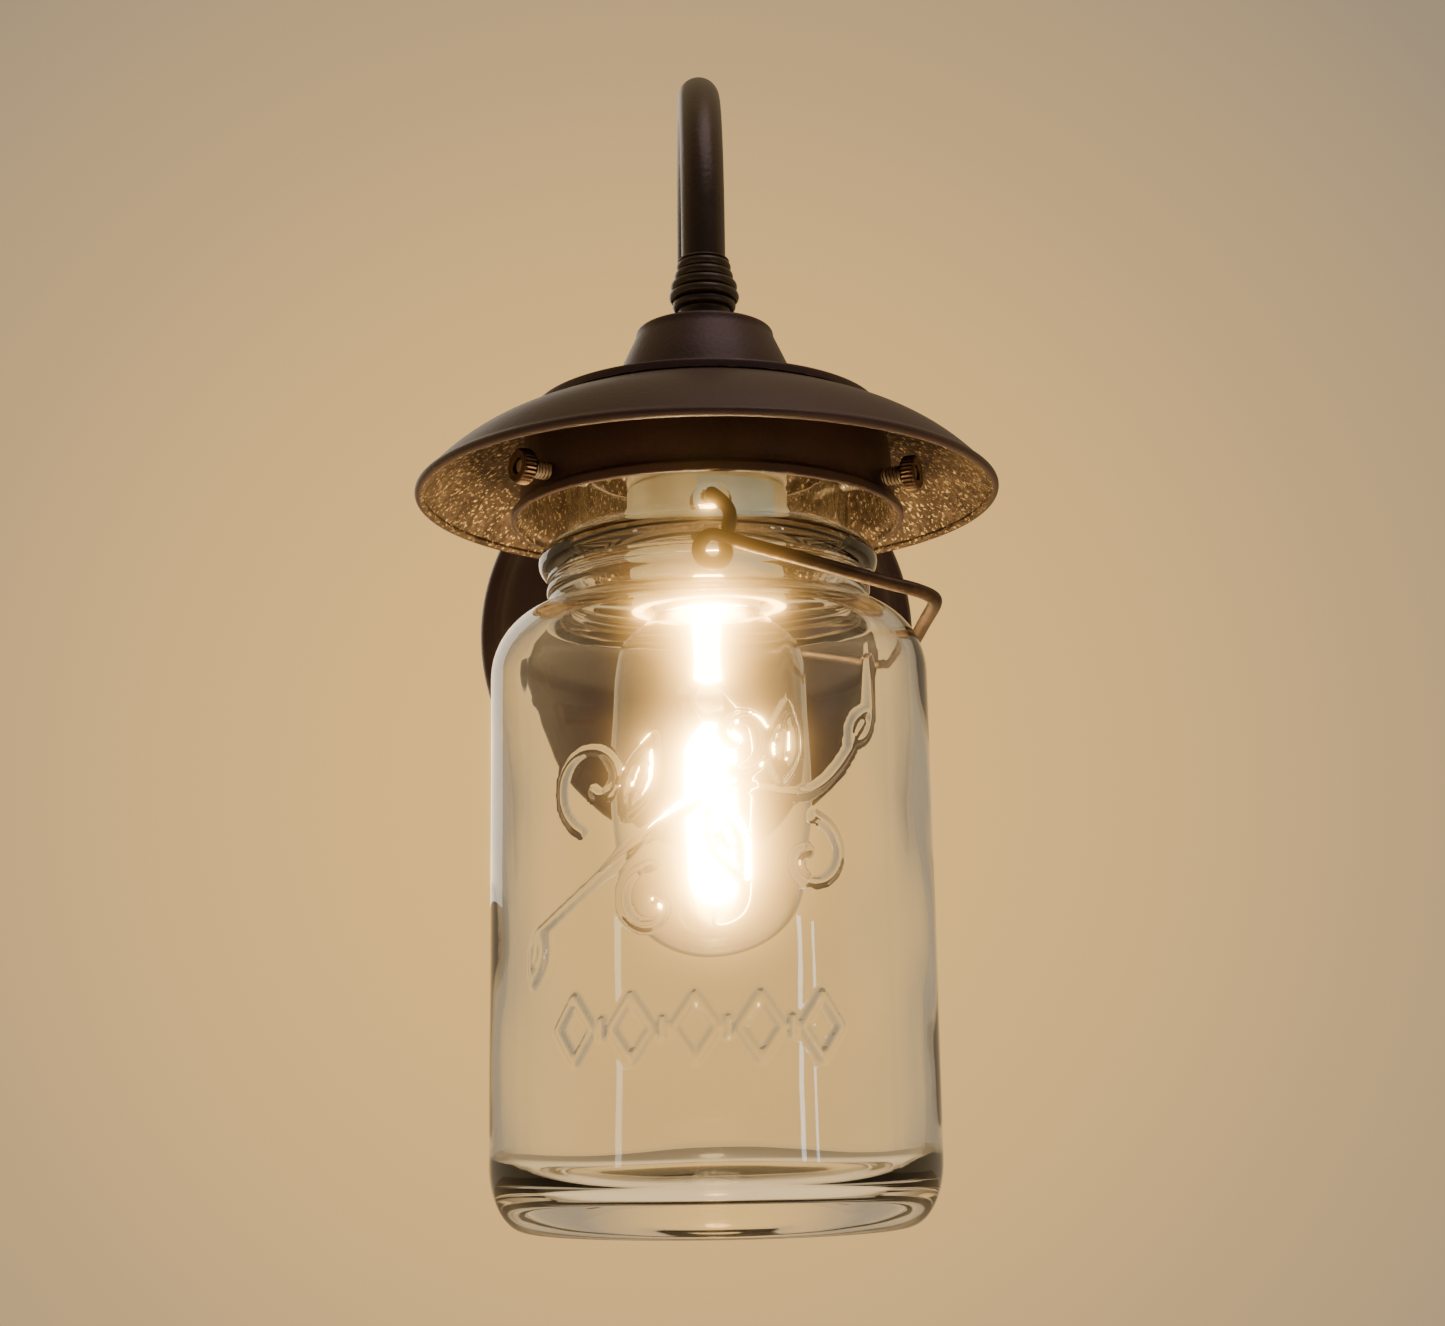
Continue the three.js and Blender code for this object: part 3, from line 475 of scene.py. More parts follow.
def fleckedFinish(name, groundTone, lightTone, fleckTone):
    # the shade's inside: a hammered brown ground with gold flecks about a millimetre across
    material, nodes, links, coordinates, surface = startMaterial(name, "Flecked bronze")
    groundStops = ((0.35, groundTone), (0.7, lightTone))
    groundRamp = addTones(nodes, links, coordinates, "Clouded ground", 150, 8, 0.5, groundStops)[1]
    hammerFrame = nodes.new("NodeFrame")
    hammerFrame.label = "Hammered ground"
    fleckFrame = nodes.new("NodeFrame")
    fleckFrame.label = "Gold flecks"
    hammer = nodes.new("ShaderNodeTexVoronoi")
    hammer.label = "Hammer marks"
    hammer.location = (-1200, -420)
    hammer.parent = hammerFrame
    hammer.feature = "SMOOTH_F1"
    hammer.inputs["Scale"].default_value = 520
    hammerBump = nodes.new("ShaderNodeBump")
    hammerBump.label = "Hammered height"
    hammerBump.location = (-560, -420)
    hammerBump.parent = hammerFrame
    hammerBump.inputs["Strength"].default_value = 0.55
    hammerBump.inputs["Distance"].default_value = 0.0009
    fleckNoise = nodes.new("ShaderNodeTexNoise")
    fleckNoise.label = "Scattered flecks"
    fleckNoise.location = (-1200, -80)
    fleckNoise.parent = fleckFrame
    fleckNoise.inputs["Scale"].default_value = 1100
    fleckNoise.inputs["Detail"].default_value = 2
    fleckRange = nodes.new("ShaderNodeMapRange")
    fleckRange.label = "Only the peaks"
    fleckRange.location = (-980, -80)
    fleckRange.parent = fleckFrame
    fleckRange.inputs["From Min"].default_value = 0.6
    fleckRange.inputs["From Max"].default_value = 0.68
    fleckMix = nodes.new("ShaderNodeMix")
    fleckMix.label = "Flecks on the ground"
    fleckMix.location = (-560, 160)
    fleckMix.data_type = "RGBA"
    fleckMix.inputs["B"].default_value = (*fleckTone, 1)
    roughRange = nodes.new("ShaderNodeMapRange")
    roughRange.label = "Flecks are shinier"
    roughRange.location = (-560, -140)
    roughRange.inputs["To Min"].default_value = 0.5
    roughRange.inputs["To Max"].default_value = 0.22
    surface.inputs["Metallic"].default_value = 0.7
    for texture in (hammer, fleckNoise):
        links.new(coordinates.outputs["Object"], texture.inputs["Vector"])
    links.new(fleckNoise.outputs["Fac"], fleckRange.inputs["Value"])
    links.new(fleckRange.outputs["Result"], fleckMix.inputs["Factor"])
    links.new(groundRamp.outputs["Color"], fleckMix.inputs["A"])
    links.new(fleckMix.outputs["Result"], surface.inputs["Base Color"])
    links.new(fleckRange.outputs["Result"], roughRange.inputs["Value"])
    links.new(roughRange.outputs["Result"], surface.inputs["Roughness"])
    links.new(hammer.outputs["Distance"], hammerBump.inputs["Height"])
    links.new(hammerBump.outputs["Normal"], surface.inputs["Normal"])
    return material


def glassFinish(name, clearTone, tintTone, roughness, waviness, glow=None):
    # glass: a faint uneven tint, slow waves left by the mould, smears that dull it a little, and, when a glow
    # is given, a painted glow
    material, nodes, links, coordinates, surface = startMaterial(name, "Glass")
    tintStops = ((0.0, clearTone), (1.0, tintTone))
    tintRamp = addTones(nodes, links, coordinates, "Tint", 22, 2, 0.5, tintStops)[1]
    addGrain(nodes, links, coordinates.outputs["Object"], surface, "Mould waves", 55, 1, waviness, 0.001)
    smearFrame = nodes.new("NodeFrame")
    smearFrame.label = "Smears"
    smearNoise = nodes.new("ShaderNodeTexNoise")
    smearNoise.label = "Smears and water marks"
    smearNoise.location = (-1000, -40)
    smearNoise.parent = smearFrame
    smearNoise.inputs["Scale"].default_value = 70
    smearNoise.inputs["Detail"].default_value = 6
    smearRange = nodes.new("ShaderNodeMapRange")
    smearRange.label = "Smeared or clean"
    smearRange.location = (-780, -40)
    smearRange.parent = smearFrame
    smearRange.inputs["From Min"].default_value = 0.5
    smearRange.inputs["From Max"].default_value = 0.75
    smearRange.inputs["To Min"].default_value = roughness
    smearRange.inputs["To Max"].default_value = roughness * 3
    surface.inputs["Transmission Weight"].default_value = 1.0
    surface.inputs["IOR"].default_value = 1.5
    # painted glow: emission makes the glass itself shine, standing in for light it catches from the lit
    # capsule
    if glow is not None:
        surface.inputs["Emission Color"].default_value = (*glow["color"], 1)
        surface.inputs["Emission Strength"].default_value = glow["strength"]
    links.new(coordinates.outputs["Object"], smearNoise.inputs["Vector"])
    links.new(tintRamp.outputs["Color"], surface.inputs["Base Color"])
    links.new(smearNoise.outputs["Fac"], smearRange.inputs["Value"])
    links.new(smearRange.outputs["Result"], surface.inputs["Roughness"])
    return material


metalMake = {
    "patchScale": 140, "patchDetail": 7, "patchRoughness": 0.65, "patchStart": 0.4, "patchEnd": 0.68,
    "grain": 420, "grainDetail": 4, "grainStrength": 0.3, "grainHeight": 0.0003,
    "cleanRougher": -0.1, "dullRougher": 0.15, "metallic": 1.0,
}
mouldedMake = {
    "patchScale": 90, "patchDetail": 6, "patchRoughness": 0.5, "patchStart": 0.4, "patchEnd": 0.8,
    "grain": 1300, "grainDetail": 2, "grainStrength": 0.2, "grainHeight": 0.0002,
    "cleanRougher": 0.08, "dullRougher": -0.12, "metallic": 0.0,
}


def patchedFinish(name, make, cleanTone, dullTone, roughness, stretch=(1, 1, 1)):
    # metal with patches of tarnish, or plastic, paper or enamel with patches of soil,
    # and a fine grain that the stretch draws out
    material, nodes, links, coordinates, surface = startMaterial(name, "Patched surface")
    patchNoise, patchRamp = addTones(
        nodes, links, coordinates, "Tarnish or soil", make["patchScale"], make["patchDetail"],
        make["patchRoughness"], ((make["patchStart"], cleanTone), (make["patchEnd"], dullTone)))
    mapping = nodes.new("ShaderNodeMapping")
    mapping.label = "Grain direction"
    mapping.location = (-1100, -260)
    mapping.inputs["Scale"].default_value = stretch
    addGrain(nodes, links, mapping.outputs["Vector"], surface, "Grain", make["grain"], make["grainDetail"],
             make["grainStrength"], make["grainHeight"])
    roughRange = nodes.new("ShaderNodeMapRange")
    roughRange.label = "Roughness of the patches"
    roughRange.location = (-520, -60)
    roughRange.inputs["To Min"].default_value = roughness + make["cleanRougher"]
    roughRange.inputs["To Max"].default_value = roughness + make["dullRougher"]
    surface.inputs["Metallic"].default_value = make["metallic"]
    links.new(coordinates.outputs["Object"], mapping.inputs["Vector"])
    links.new(patchRamp.outputs["Color"], surface.inputs["Base Color"])
    links.new(patchNoise.outputs["Fac"], roughRange.inputs["Value"])
    links.new(roughRange.outputs["Result"], surface.inputs["Roughness"])
    return material


def glowFinish(name, hotTone, coolTone, strength):
    # the lit capsule, whose glow is a little uneven
    material, nodes, links, coordinates, surface = startMaterial(name, "Glowing surface")
    heatStops = ((0.3, hotTone), (0.75, coolTone))
    heatRamp = addTones(nodes, links, coordinates, "Heat", 60, 2, 0.5, heatStops)[1]
    surface.inputs["Roughness"].default_value = 0.3
    surface.inputs["Emission Strength"].default_value = strength
    links.new(heatRamp.outputs["Color"], surface.inputs["Base Color"])
    links.new(heatRamp.outputs["Color"], surface.inputs["Emission Color"])
    return material


plateBronze = bronzeFinish(
    "plateBronze", (0.026, 0.013, 0.010), (0.044, 0.023, 0.017), (0.24, 0.13, 0.08), 0.36, 0.5)
armBronze = bronzeFinish(
    "armBronze", (0.026, 0.017, 0.012), (0.048, 0.032, 0.023), (0.22, 0.14, 0.09), 0.36, 0.5)
shadeBronze = bronzeFinish(
    "shadeBronze", (0.030, 0.014, 0.013), (0.052, 0.026, 0.024), (0.34, 0.20, 0.11), 0.46, 0.35)
innerBronze = fleckedFinish("innerBronze", (0.055, 0.034, 0.022), (0.12, 0.078, 0.050), (1.0, 0.76, 0.42))
leverSteel = patchedFinish("leverSteel", metalMake, (0.060, 0.040, 0.028), (0.13, 0.085, 0.060), 0.46)
screwSteel = patchedFinish("screwSteel", metalMake, (0.42, 0.36, 0.29), (0.2, 0.15, 0.11), 0.36)
screwBronze = patchedFinish("screwBronze", metalMake, (0.10, 0.062, 0.040), (0.05, 0.032, 0.022), 0.38)
zincMake = {**metalMake, "grain": 500}
zincSteel = patchedFinish(
    "zincSteel", zincMake, (0.62, 0.63, 0.65), (0.44, 0.44, 0.42), 0.32, (1, 1, 0.15))
brassFinish = patchedFinish("brassFinish", metalMake, (0.74, 0.53, 0.22), (0.48, 0.32, 0.13), 0.3)
capAluminium = patchedFinish("capAluminium", metalMake, (0.72, 0.72, 0.73), (0.52, 0.51, 0.50), 0.3)
creamPlastic = patchedFinish("creamPlastic", mouldedMake, (0.86, 0.80, 0.62), (0.62, 0.54, 0.36), 0.5)
labelPaper = patchedFinish("labelPaper", mouldedMake, (0.66, 0.76, 0.84), (0.50, 0.62, 0.74), 0.7)
blackPlastic = patchedFinish(
    "blackPlastic", mouldedMake, (0.018, 0.018, 0.018), (0.05, 0.047, 0.043), 0.45)
whitePlastic = patchedFinish("whitePlastic", mouldedMake, (0.80, 0.79, 0.75), (0.60, 0.57, 0.50), 0.45)
orangePlastic = patchedFinish("orangePlastic", mouldedMake, (0.56, 0.14, 0.03), (0.36, 0.09, 0.025), 0.5)
greenPaint = patchedFinish("greenPaint", mouldedMake, (0.03, 0.20, 0.07), (0.02, 0.11, 0.045), 0.35)
floorPaint = patchedFinish("floorPaint", mouldedMake, (0.74, 0.68, 0.58), (0.70, 0.64, 0.545), 0.8)
jarGlass = glassFinish("jarGlass", (0.998, 0.998, 0.985), (0.985, 0.995, 0.97), 0.012, 0.12)
bulbGlass = glassFinish("bulbGlass", (1.0, 0.99, 0.96), (0.99, 0.96, 0.9), 0.006, 0.05)
# painted glow on the glass mount: it is no lamp, and its emission stands in for the lit capsule's light
# shining in it
stemPaintedGlow = {"color": (1.0, 0.72, 0.32), "strength": 6.0}
stemGlassPaintedGlow = glassFinish("stemGlassPaintedGlow", (1.0, 0.97, 0.88), (1.0, 0.92, 0.74), 0.05, 0.05, stemPaintedGlow)
hotCapsule = glowFinish("hotCapsule", (1.0, 0.78, 0.40), (1.0, 0.70, 0.32), 90.0)
print("finishes made")

makeSky(studio)
makeLights(softLights)
makeBulbLight(bulbLight, lampY)
makeGlare(glare)


def makeFloor(look):
    half = look["floorSize"] / 2
    level = jarLow.z - look["floorDrop"]
    mesh = bpy.data.meshes.new("floor")
    mesh.from_pydata(
        [(-half, -half, level), (half, -half, level), (half, half, level), (-half, half, level)],
        [],
        [(0, 1, 2, 3)],
    )
    mesh.materials.append(floorPaint)
    floor = bpy.data.objects.new("floor", mesh)
    scene.collection.objects.link(floor)


makeFloor(studio)
print("floor and lights set")

# wall end
wallAxis = {"origin": (0, 0, 0), "axis": (0, -1, 0)}  # heights are distances from the wall

plate = {"radius": 63.5, "depth": 20.0, "wall": 1.5, "bore": 5.45, "stepRadius": 58.6, "stepHeight": 6.6}


def makeBackplate(size):
    # rolled edge, a step, then an elliptical dome, and the same line one wall thickness inside
    domeA = size["stepRadius"] - 1.2
    rise = size["depth"] - size["stepHeight"]
    wall = size["wall"]
    dome = ellipseArc(0, size["stepHeight"], domeA, rise, 7, 84.9, 40)
    inner = ellipseArc(0, size["stepHeight"] - wall, domeA - wall, rise, 7, 84.6, 30)[::-1]
    edge = rounded([
        (size["radius"] - wall, 0, 0), (size["radius"], 0, 0.4), (size["radius"], 3.3, 1.4),
        (62.2, 5.6, 1.2), (59.6, 6.2, 0.9), (58.4, 7.2, 0.7), tuple(dome[0]),
    ], 6)[1:-1]
    rim = rounded([tuple(inner[-1]), (57.4, 4.9, 0.8), (61.2, 3.8, 0.8), (62.0, 2.4, 0.8), (62.0, 0)], 5)
    profile = np.concatenate([
        edge, dome, [[size["bore"], size["depth"] - 0.02]],
        [[size["bore"], size["depth"] - wall]], inner, rim,
    ])
    surface = spun(withoutRepeats(profile), 160, **wallAxis)
    makePiece("wall_plate", surface, plateBronze, "root", ["backplate"])


hub = {"low": 20.3, "bore": 5.45}


def makeArmHub(size):
    # a stepped and beaded rosette round the arm, standing on the plate
    low = size["low"]
    profile = rounded([
        (size["bore"], low), (13, low, 0.3), (13, low + 1.3, 0.6), (11.4, low + 1.7, 0.5),
        (11.0, low + 2.9, 0.7), (9.6, low + 3.0, 0.4), (9.0, low + 2.6, 0.4), (8.2, low + 4.2, 0.8),
        (6.8, low + 5.1, 0.7), (size["bore"], low + 5.2, 0.2),
    ], 6)
    surface = spun(profile, 96, **wallAxis)
    makePiece("arm_rosette", surface, plateBronze, "root", ["arm_hub"])


def makeCapNut(label):
    # a domed nut: short collar, round cap
    low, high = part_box("cap_nut_" + label)
    seat = -high.y / mm
    top = -low.y / mm
    profile = rounded([
        (2.4, seat), (4.7, seat, 0.3), (4.9, seat + 1.6, 0.6), (4.1, seat + 2.2, 0.4),
        (4.3, seat + 4.2, 1.0), (3.6, top - 1.9, 1.4), (2.0, top - 0.3, 1.2), (0, top, 0),
        (0, seat + 4.6), (2.4, seat + 4.2),
    ], 6)
    middle = (0, 0, (low.z + high.z) / 2)
    surface = spun(profile, 48, origin=middle, axis=(0, -1, 0))
    makePiece("canopy_nut_" + label, surface, plateBronze, "root", ["cap_nut_" + label])


connector = {"ribs": 14, "ribHeight": 0.35}


def makeConnector(label, side, size):
    # a ribbed twist-on cone: radius falls from mouth to tip, with cosine ribs along it
    low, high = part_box("wire_connector_" + label)
    near, far = sorted([abs(low.x) / mm, abs(high.x) / mm])
    middle = (0, (low.y + high.y) / 2, (low.z + high.z) / 2)
    profile = filled(rounded([
        (0, near), (4.3, near, 0.3), (4.9, near + 0.5, 0.5), (4.9, near + 2.2, 0.6), (4.5, near + 2.8, 0.4),
        (4.6, near + 7, 1), (3.5, near + 12, 1), (3.0, far - 1.2, 0.8), (1.8, far, 0.6), (0, far),
    ], 6), 0.8)

    def ribs(a, r, h):
        zone = np.clip((h - near - 2.6) / 1.2, 0, 1) * np.clip((far - 1.5 - h) / 1.2, 0, 1)
        return size["ribHeight"] * zone * np.cos(size["ribs"] * a)

    surface = spun(profile, 112, origin=middle, axis=(side, 0, 0), relief=ribs)
    makePiece("twist_connector_" + label, surface, orangePlastic, "root",
              ["wire_connector_" + label])


makeBackplate(plate)
makeArmHub(hub)
makeCapNut("upper")
makeCapNut("lower")
makeConnector("black", -1, connector)
makeConnector("white", 1, connector)
print("wall end made")

# arm and leads
arm = {
    "radius": 5.15, "archRadius": 48.5, "archHeight": 69.8, "wallBend": 22.0,
    "frontEnd": 52.6, "innerEnd": -11.2,
}


def armPath(size, offset, frontEnd, step=1.2):
    # straight up from the lamp, half a circle over, straight down, a quarter circle, straight in
    front = lampY / mm
    rear = front + 2 * size["archRadius"]
    bend = size["wallBend"]
    turn = np.radians(np.linspace(180, 0, int(np.pi * size["archRadius"] / step)))
    arch = np.stack([
        front + size["archRadius"] * (1 + np.cos(turn)),
        size["archHeight"] + size["archRadius"] * np.sin(turn),
    ], 1)
    turn = np.radians(np.linspace(180, 270, int(np.pi * bend / 2 / step)))
    foot = np.stack([rear + bend * (1 + np.cos(turn)), bend + bend * np.sin(turn)], 1)
    line = np.concatenate([[[front, frontEnd]], arch, foot, [[size["innerEnd"], 0]]])
    line = filled(withoutRepeats(line), 3.0)
    return np.insert(line, 0, offset, axis=1)


def makeArm(size):
    path = armPath(size, 0, size["frontEnd"])
    surface = swept(path, size["radius"], 48, (1, 0, 0))
    makePiece("gooseneck", surface, armBronze, "root", ["arm_tube"], 60)


lead = {"radius": 1.0, "offset": 1.6, "terminal": 7.8, "terminalHeight": 3.4, "connectorMouth": 14.6}


def makeLead(label, side, finish, size):
    front = lampY / mm
    x = side * size["offset"]
    inside = armPath(arm, x, 12)
    inside = inside[inside[:, 1] <= arm["innerEnd"] + 0.01]
    start = [
        (side * size["terminal"], front, size["terminalHeight"]),
        (side * 5.4, front, size["terminalHeight"] + 0.1),
        (side * 3.4, front, 4.2),
        (x, front, 6.8),
    ]
    end = [(side * 4.2, -8.0, 0), (side * 9, -7.6, 0), (side * size["connectorMouth"], -7.6, 0)]
    route = np.concatenate([start, inside[::6], end])
    guide = (0.35, 0.2 * side, 0.05)
    surface = swept(curveThrough(route, 420), size["radius"], 14, guide)
    makePiece("wire_" + label, surface, finish, "root", ["lead_" + label], 60)


makeArm(arm)
makeLead("black", -1, blackPlastic, lead)
makeLead("white", 1, whitePlastic, lead)
print("arm made")

# coupling, cup, crown, saucer, fitter
coupling = {
    "bottom": 41.7, "top": 59.0, "bore": 4.3, "upperBore": 5.45, "seat": 52.2,
    "halfBead": 1.15, "groove": 0.9,
    "beads": ((7.4, 47.7), (8.2, 49.9), (7.8, 52.4), (6.9, 54.9), (6.4, 57.2)),  # radius and height
}


def makeCoupling(size):
    # turned beads, each half an ellipse between two grooves
    beads = [
        ellipseArc(r - size["groove"], z, size["groove"], size["halfBead"], -88, 88, 12)
        for r, z in size["beads"]
    ]
    low, top = size["bottom"], size["top"]
    foot = rounded([(5.4, low), (5.9, low + 0.2, 0.3), (5.8, 46.3, 0.5), (6.3, 46.7)], 4)
    neck = rounded([(6.05, top - 0.7), (6.0, top, 0.3), (size["upperBore"], top)], 4)
    inside = [
        (size["upperBore"], size["seat"]), (size["bore"], size["seat"]), (size["bore"], low),
    ]
    profile = withoutRepeats(np.concatenate([foot[:-1], *beads, neck[1:], inside]))
    makePiece("ringed_coupling", spun(profile, 96), armBronze, "root", ["coupling"])


def makeCup():
    # a flared foot, a nearly straight cone, a round shoulder, one sheet thick
    low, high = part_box("socket_cup")
    base, top = low.z / mm, high.z / mm
    profile = rounded([
        (23.8, base, 0.3), (23.6, base + 1.4, 0.6), (21.3, base + 5.0, 4), (19.6, base + 10, 4),
        (17.4, base + 14.8, 3), (16.1, base + 17.6, 2), (15.9, top - 0.3, 3), (12, top, 2),
        (4.3, top), (4.3, top - 1.2), (14.6, top - 1.3, 2.4), (15.4, base + 15.6, 3),
        (18.3, base + 10, 4), (20.2, base + 4.4, 3), (22.6, base, 0),
    ], 10)
    makePiece("bell_cup", spun(profile, 128), shadeBronze, "root", ["socket_cup"])


def makeCrown():
    low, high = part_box("crown_plate")
    base, top = low.z / mm, high.z / mm
    profile = rounded([
        (4.3, base), (40.1, base, 0.2), (40.1, top - 0.1, 0.7), (38.4, top, 0.4), (37.6, top - 0.35, 0.4),
        (36.4, top - 0.3, 0.4), (35.4, top, 0.4), (4.3, top),
    ], 6)
    makePiece("crown_disc", spun(profile, 160), shadeBronze, "root", ["crown_plate"])


saucer = {
    "radius": 66.6, "rimHeight": 1.1, "top": 19.0, "sheet": 1.2, "roll": 1.1, "bore": 4.3,
    "rollBronze": 12,  # this many points of the rolled rim still have the outside's finish
}


def saucerFall(size, count):
    # height falls from the flat top to the rim by 0.62 t + 0.38 t^3
    t = np.linspace(0, 1, count)
    end = size["radius"] - size["roll"]
    drop = size["top"] - size["rimHeight"] - size["roll"]
    return np.stack([40 + (end - 40) * t, size["top"] - drop * (0.62 * t + 0.38 * t**3)], 1)


def makeSaucer(size):
    outside = saucerFall(size, 60)
    inside = outside[:-1] + [-0.4, -size["sheet"]]
    curl = size["roll"]
    roll = ellipseArc(size["radius"] - curl, size["rimHeight"], curl, curl, 62, -168, 18)
    flat = [[size["bore"], size["top"]], [37.2, size["top"]]]
    underFlat = [[37.0, size["top"] - size["sheet"]], [size["bore"], size["top"] - size["sheet"]]]
    profile = np.concatenate([flat, outside[:-1], roll, inside[::-1], underFlat])
    firstUnder = len(flat) + len(outside[:-1]) + size["rollBronze"]
    lowerSide = np.arange(len(profile)) >= firstUnder
    surface = spun(profile, 192)
    makePiece("saucer", surface, shadeBronze, "root", ["saucer_shade"],
              secondFinish=innerBronze, secondRows=lowerSide)


fitter = {"lip": -5.2, "top": 17.5, "sheet": 1.2, "bore": 4.3, "lipBronze": 6}  # points past the lip's lowest


def makeFitter(size):
    # flat top, rounded shoulder, a nearly straight band and a flared, rolled lip
    lip, top, sheet = size["lip"], size["top"], size["sheet"]
    outline = [
        (size["bore"], top), (40.6, top, 3.4), (42.0, 13.0, 3.0), (42.75, 4.5, 4), (43.0, -0.4, 1.2),
        (43.6, lip + 2.9, 0.9), (44.75, lip + 2.3, 0.7), (44.9, lip + 0.2, 0.5), (44.2, lip - 0.05, 0.3),
        (43.6, lip + 0.2, 0.3), (43.5, lip + 1.6, 0.5), (42.4, lip + 2.4, 0.6), (41.8, lip + 4.2, 1.2),
        (41.5, 4.5, 4), (40.8, 12.6, 2.4), (39.8, top - sheet, 2.2), (size["bore"], top - sheet),
    ]
    profile = filled(rounded(outline, 8), 2.5)
    lipAt = int(np.argmin(profile[:, 1]))
    innerSide = np.arange(len(profile)) > lipAt + size["lipBronze"]
    makePiece("jar_fitter", spun(profile, 192), shadeBronze, "root", ["fitter"],
              secondFinish=innerBronze, secondRows=innerSide)


makeCoupling(coupling)
makeCup()
makeCrown()
makeSaucer(saucer)
makeFitter(fitter)
print("shade made")

# thumb screws
thumbScrew = {
    "angles": {"left": -145, "right": -25, "back": 95},
    "height": 0.8, "tip": 32.6, "head": 47.6, "radius": 2.1, "pitch": 0.794,
    "knobRadius": 4.0, "knobDepth": 3.4, "teeth": 26,
}


def makeThumbScrew(label, size):
    angle = math.radians(size["angles"][label])
    outwards = (math.cos(angle), math.sin(angle), 0)
    middle = (0, lampY, size["height"] * mm)
    tip, head, radius, rim = size["tip"], size["head"], size["radius"], size["knobRadius"]

    def thread(a, r, h):
        # a ridge that climbs one pitch in each turn, faded out at both ends of the stud
        phase = (h / size["pitch"] - a / (2 * np.pi)) % 1
        fade = np.clip((h - tip - 0.8) / 0.6, 0, 1) * np.clip((head - 0.6 - h) / 0.6, 0, 1)
        return -0.38 * fade * np.abs(2 * phase - 1) * (r > 1.9)

    stud = filled(rounded([
        (0, tip), (1.4, tip, 0.2), (radius, tip + 0.8, 0.2), (radius, head - 0.3, 0.2), (1.5, head, 0.1),
        (1.5, head + 2.6, 0.2), (0, head + 2.6),
    ], 4), 0.13)
    surface = spun(stud, 40, origin=middle, axis=outwards, relief=thread)
    makePiece("screw_stud_" + label, surface, screwSteel, "stud_" + label,
              ["thumbscrew_stud_" + label], 60)

    low = head + 0.1
    high = low + size["knobDepth"]

    def knurl(a, r, h):
        # straight knurls on the rim only
        zone = np.clip((h - low - 0.3) / 0.4, 0, 1) * np.clip((high - 0.3 - h) / 0.4, 0, 1)
        return -0.3 * zone * (r > 3.2) * (0.5 - 0.5 * np.cos(size["teeth"] * a))

    knob = filled(rounded([
        (1.8, low), (3.4, low, 0.2), (rim, low + 0.5, 0.35), (rim, high - 0.6, 0.4), (3.4, high - 0.02, 0.3),
        (2.6, high - 0.25, 0.3), (1.8, high - 0.3, 0.2),
    ], 6), 0.22)
    surface = spun(knob, 208, origin=middle, axis=outwards, relief=knurl)
    makePiece("screw_knob_" + label, surface, screwBronze, "knob_" + label,
              ["thumbscrew_knob_" + label], 30)


for label in thumbScrew["angles"]:
    makeThumbScrew(label, thumbScrew)
print("thumb screws made")

# socket
socket = {"radius": 18.5, "bottom": -22.8, "top": 9.0, "inner": 15.3, "bore": 4.3}


def makeSocket(size):
    # a moulded sleeve with a bevelled top, two shallow grooves and a bead round its mouth
    low, high, radius = size["bottom"], size["top"], size["radius"]
    profile = rounded([
        (size["inner"], low), (radius - 0.3, low, 0.6), (radius, low + 2.2, 0.5),
        (radius - 0.5, low + 2.9, 0.3),
        (radius - 0.5, low + 3.6, 0.3), (radius - 0.2, low + 4.2, 0.4), (radius - 0.2, 2.0, 0.4),
        (radius - 0.6, 2.6, 0.3), (radius - 0.6, 3.4, 0.3), (radius - 0.1, 4.0, 0.4), (radius - 0.2, 6.0, 1),
        (radius - 2.2, high, 0.8), (size["bore"], high), (size["bore"], high - 3),
        (size["inner"], high - 3, 0.6),
    ], 6)
    makePiece("socket_sleeve", spun(profile, 128), creamPlastic, "root", ["socket_body"])


label = {"low": -17.5, "high": 1.2, "from": -98, "to": -38, "thick": 0.12}


def makeLabel(size, onto):
    # a blank paper strip wrapped on the sleeve: a grid in angle and height, closed round its edge
    a = np.radians(np.linspace(size["from"], size["to"], 60))
    radius = onto["radius"] - 0.17
    outline = rounded([
        (radius, size["low"]), (radius + size["thick"], size["low"]),
        (radius + size["thick"], size["high"]), (radius, size["high"]),
    ], 2)
    places = spun(outline, angles=a)[0]
    first, last = places[:1].mean(1, keepdims=True), places[-1:].mean(1, keepdims=True)
    count = places.shape[1]
    ends = [np.repeat(first, count, 1), places, np.repeat(last, count, 1)]
    grid = np.concatenate(ends).transpose(1, 0, 2)
    surface = (grid, np.zeros(grid.shape[:2]), False)
    makePiece("socket_label", surface, labelPaper, "root")


makeSocket(socket)
makeLabel(label, socket)
print("socket made")

# bulb
bulb = {
    "radius": 22.0, "bottom": -103.4, "neck": 11.4, "wall": 0.7, "capBottom": -24.0,
    "capRadius": 13.1, "pitch": 3.63, "capsuleRadius": 5.6, "capsuleTop": -52.0, "capsuleBottom": -92.0,
}


def bulbOutline(size, inset):
    reach = size["radius"] - 1.3 - inset
    top = rounded([
        (size["neck"] - inset, -10), (size["neck"] - inset, size["capBottom"] - 0.6, 1.5),
        (size["neck"] + 2.6 - inset, -26.4, 2), (size["radius"] - 1.8 - inset, -32.6, 6),
        (size["radius"] - inset, -41, 6), (size["radius"] - inset, -72.8, 4), (reach, -86),
    ], 14)
    dome = ellipseArc(0, -86, reach, -(size["bottom"] + 86) - inset, -2, -90, 30)
    dome[-1, 0] = 0
    return np.concatenate([filled(top, 3), dome])


def makeBulbGlass(size):
    outer = bulbOutline(size, 0)
    inner = bulbOutline(size, size["wall"])
    surface = spun(np.concatenate([outer, inner[::-1]]), 128)
    makePiece("bulb_envelope", surface, bulbGlass, "bulb", ["bulb_glass"], 60,
              castsShadow=False)


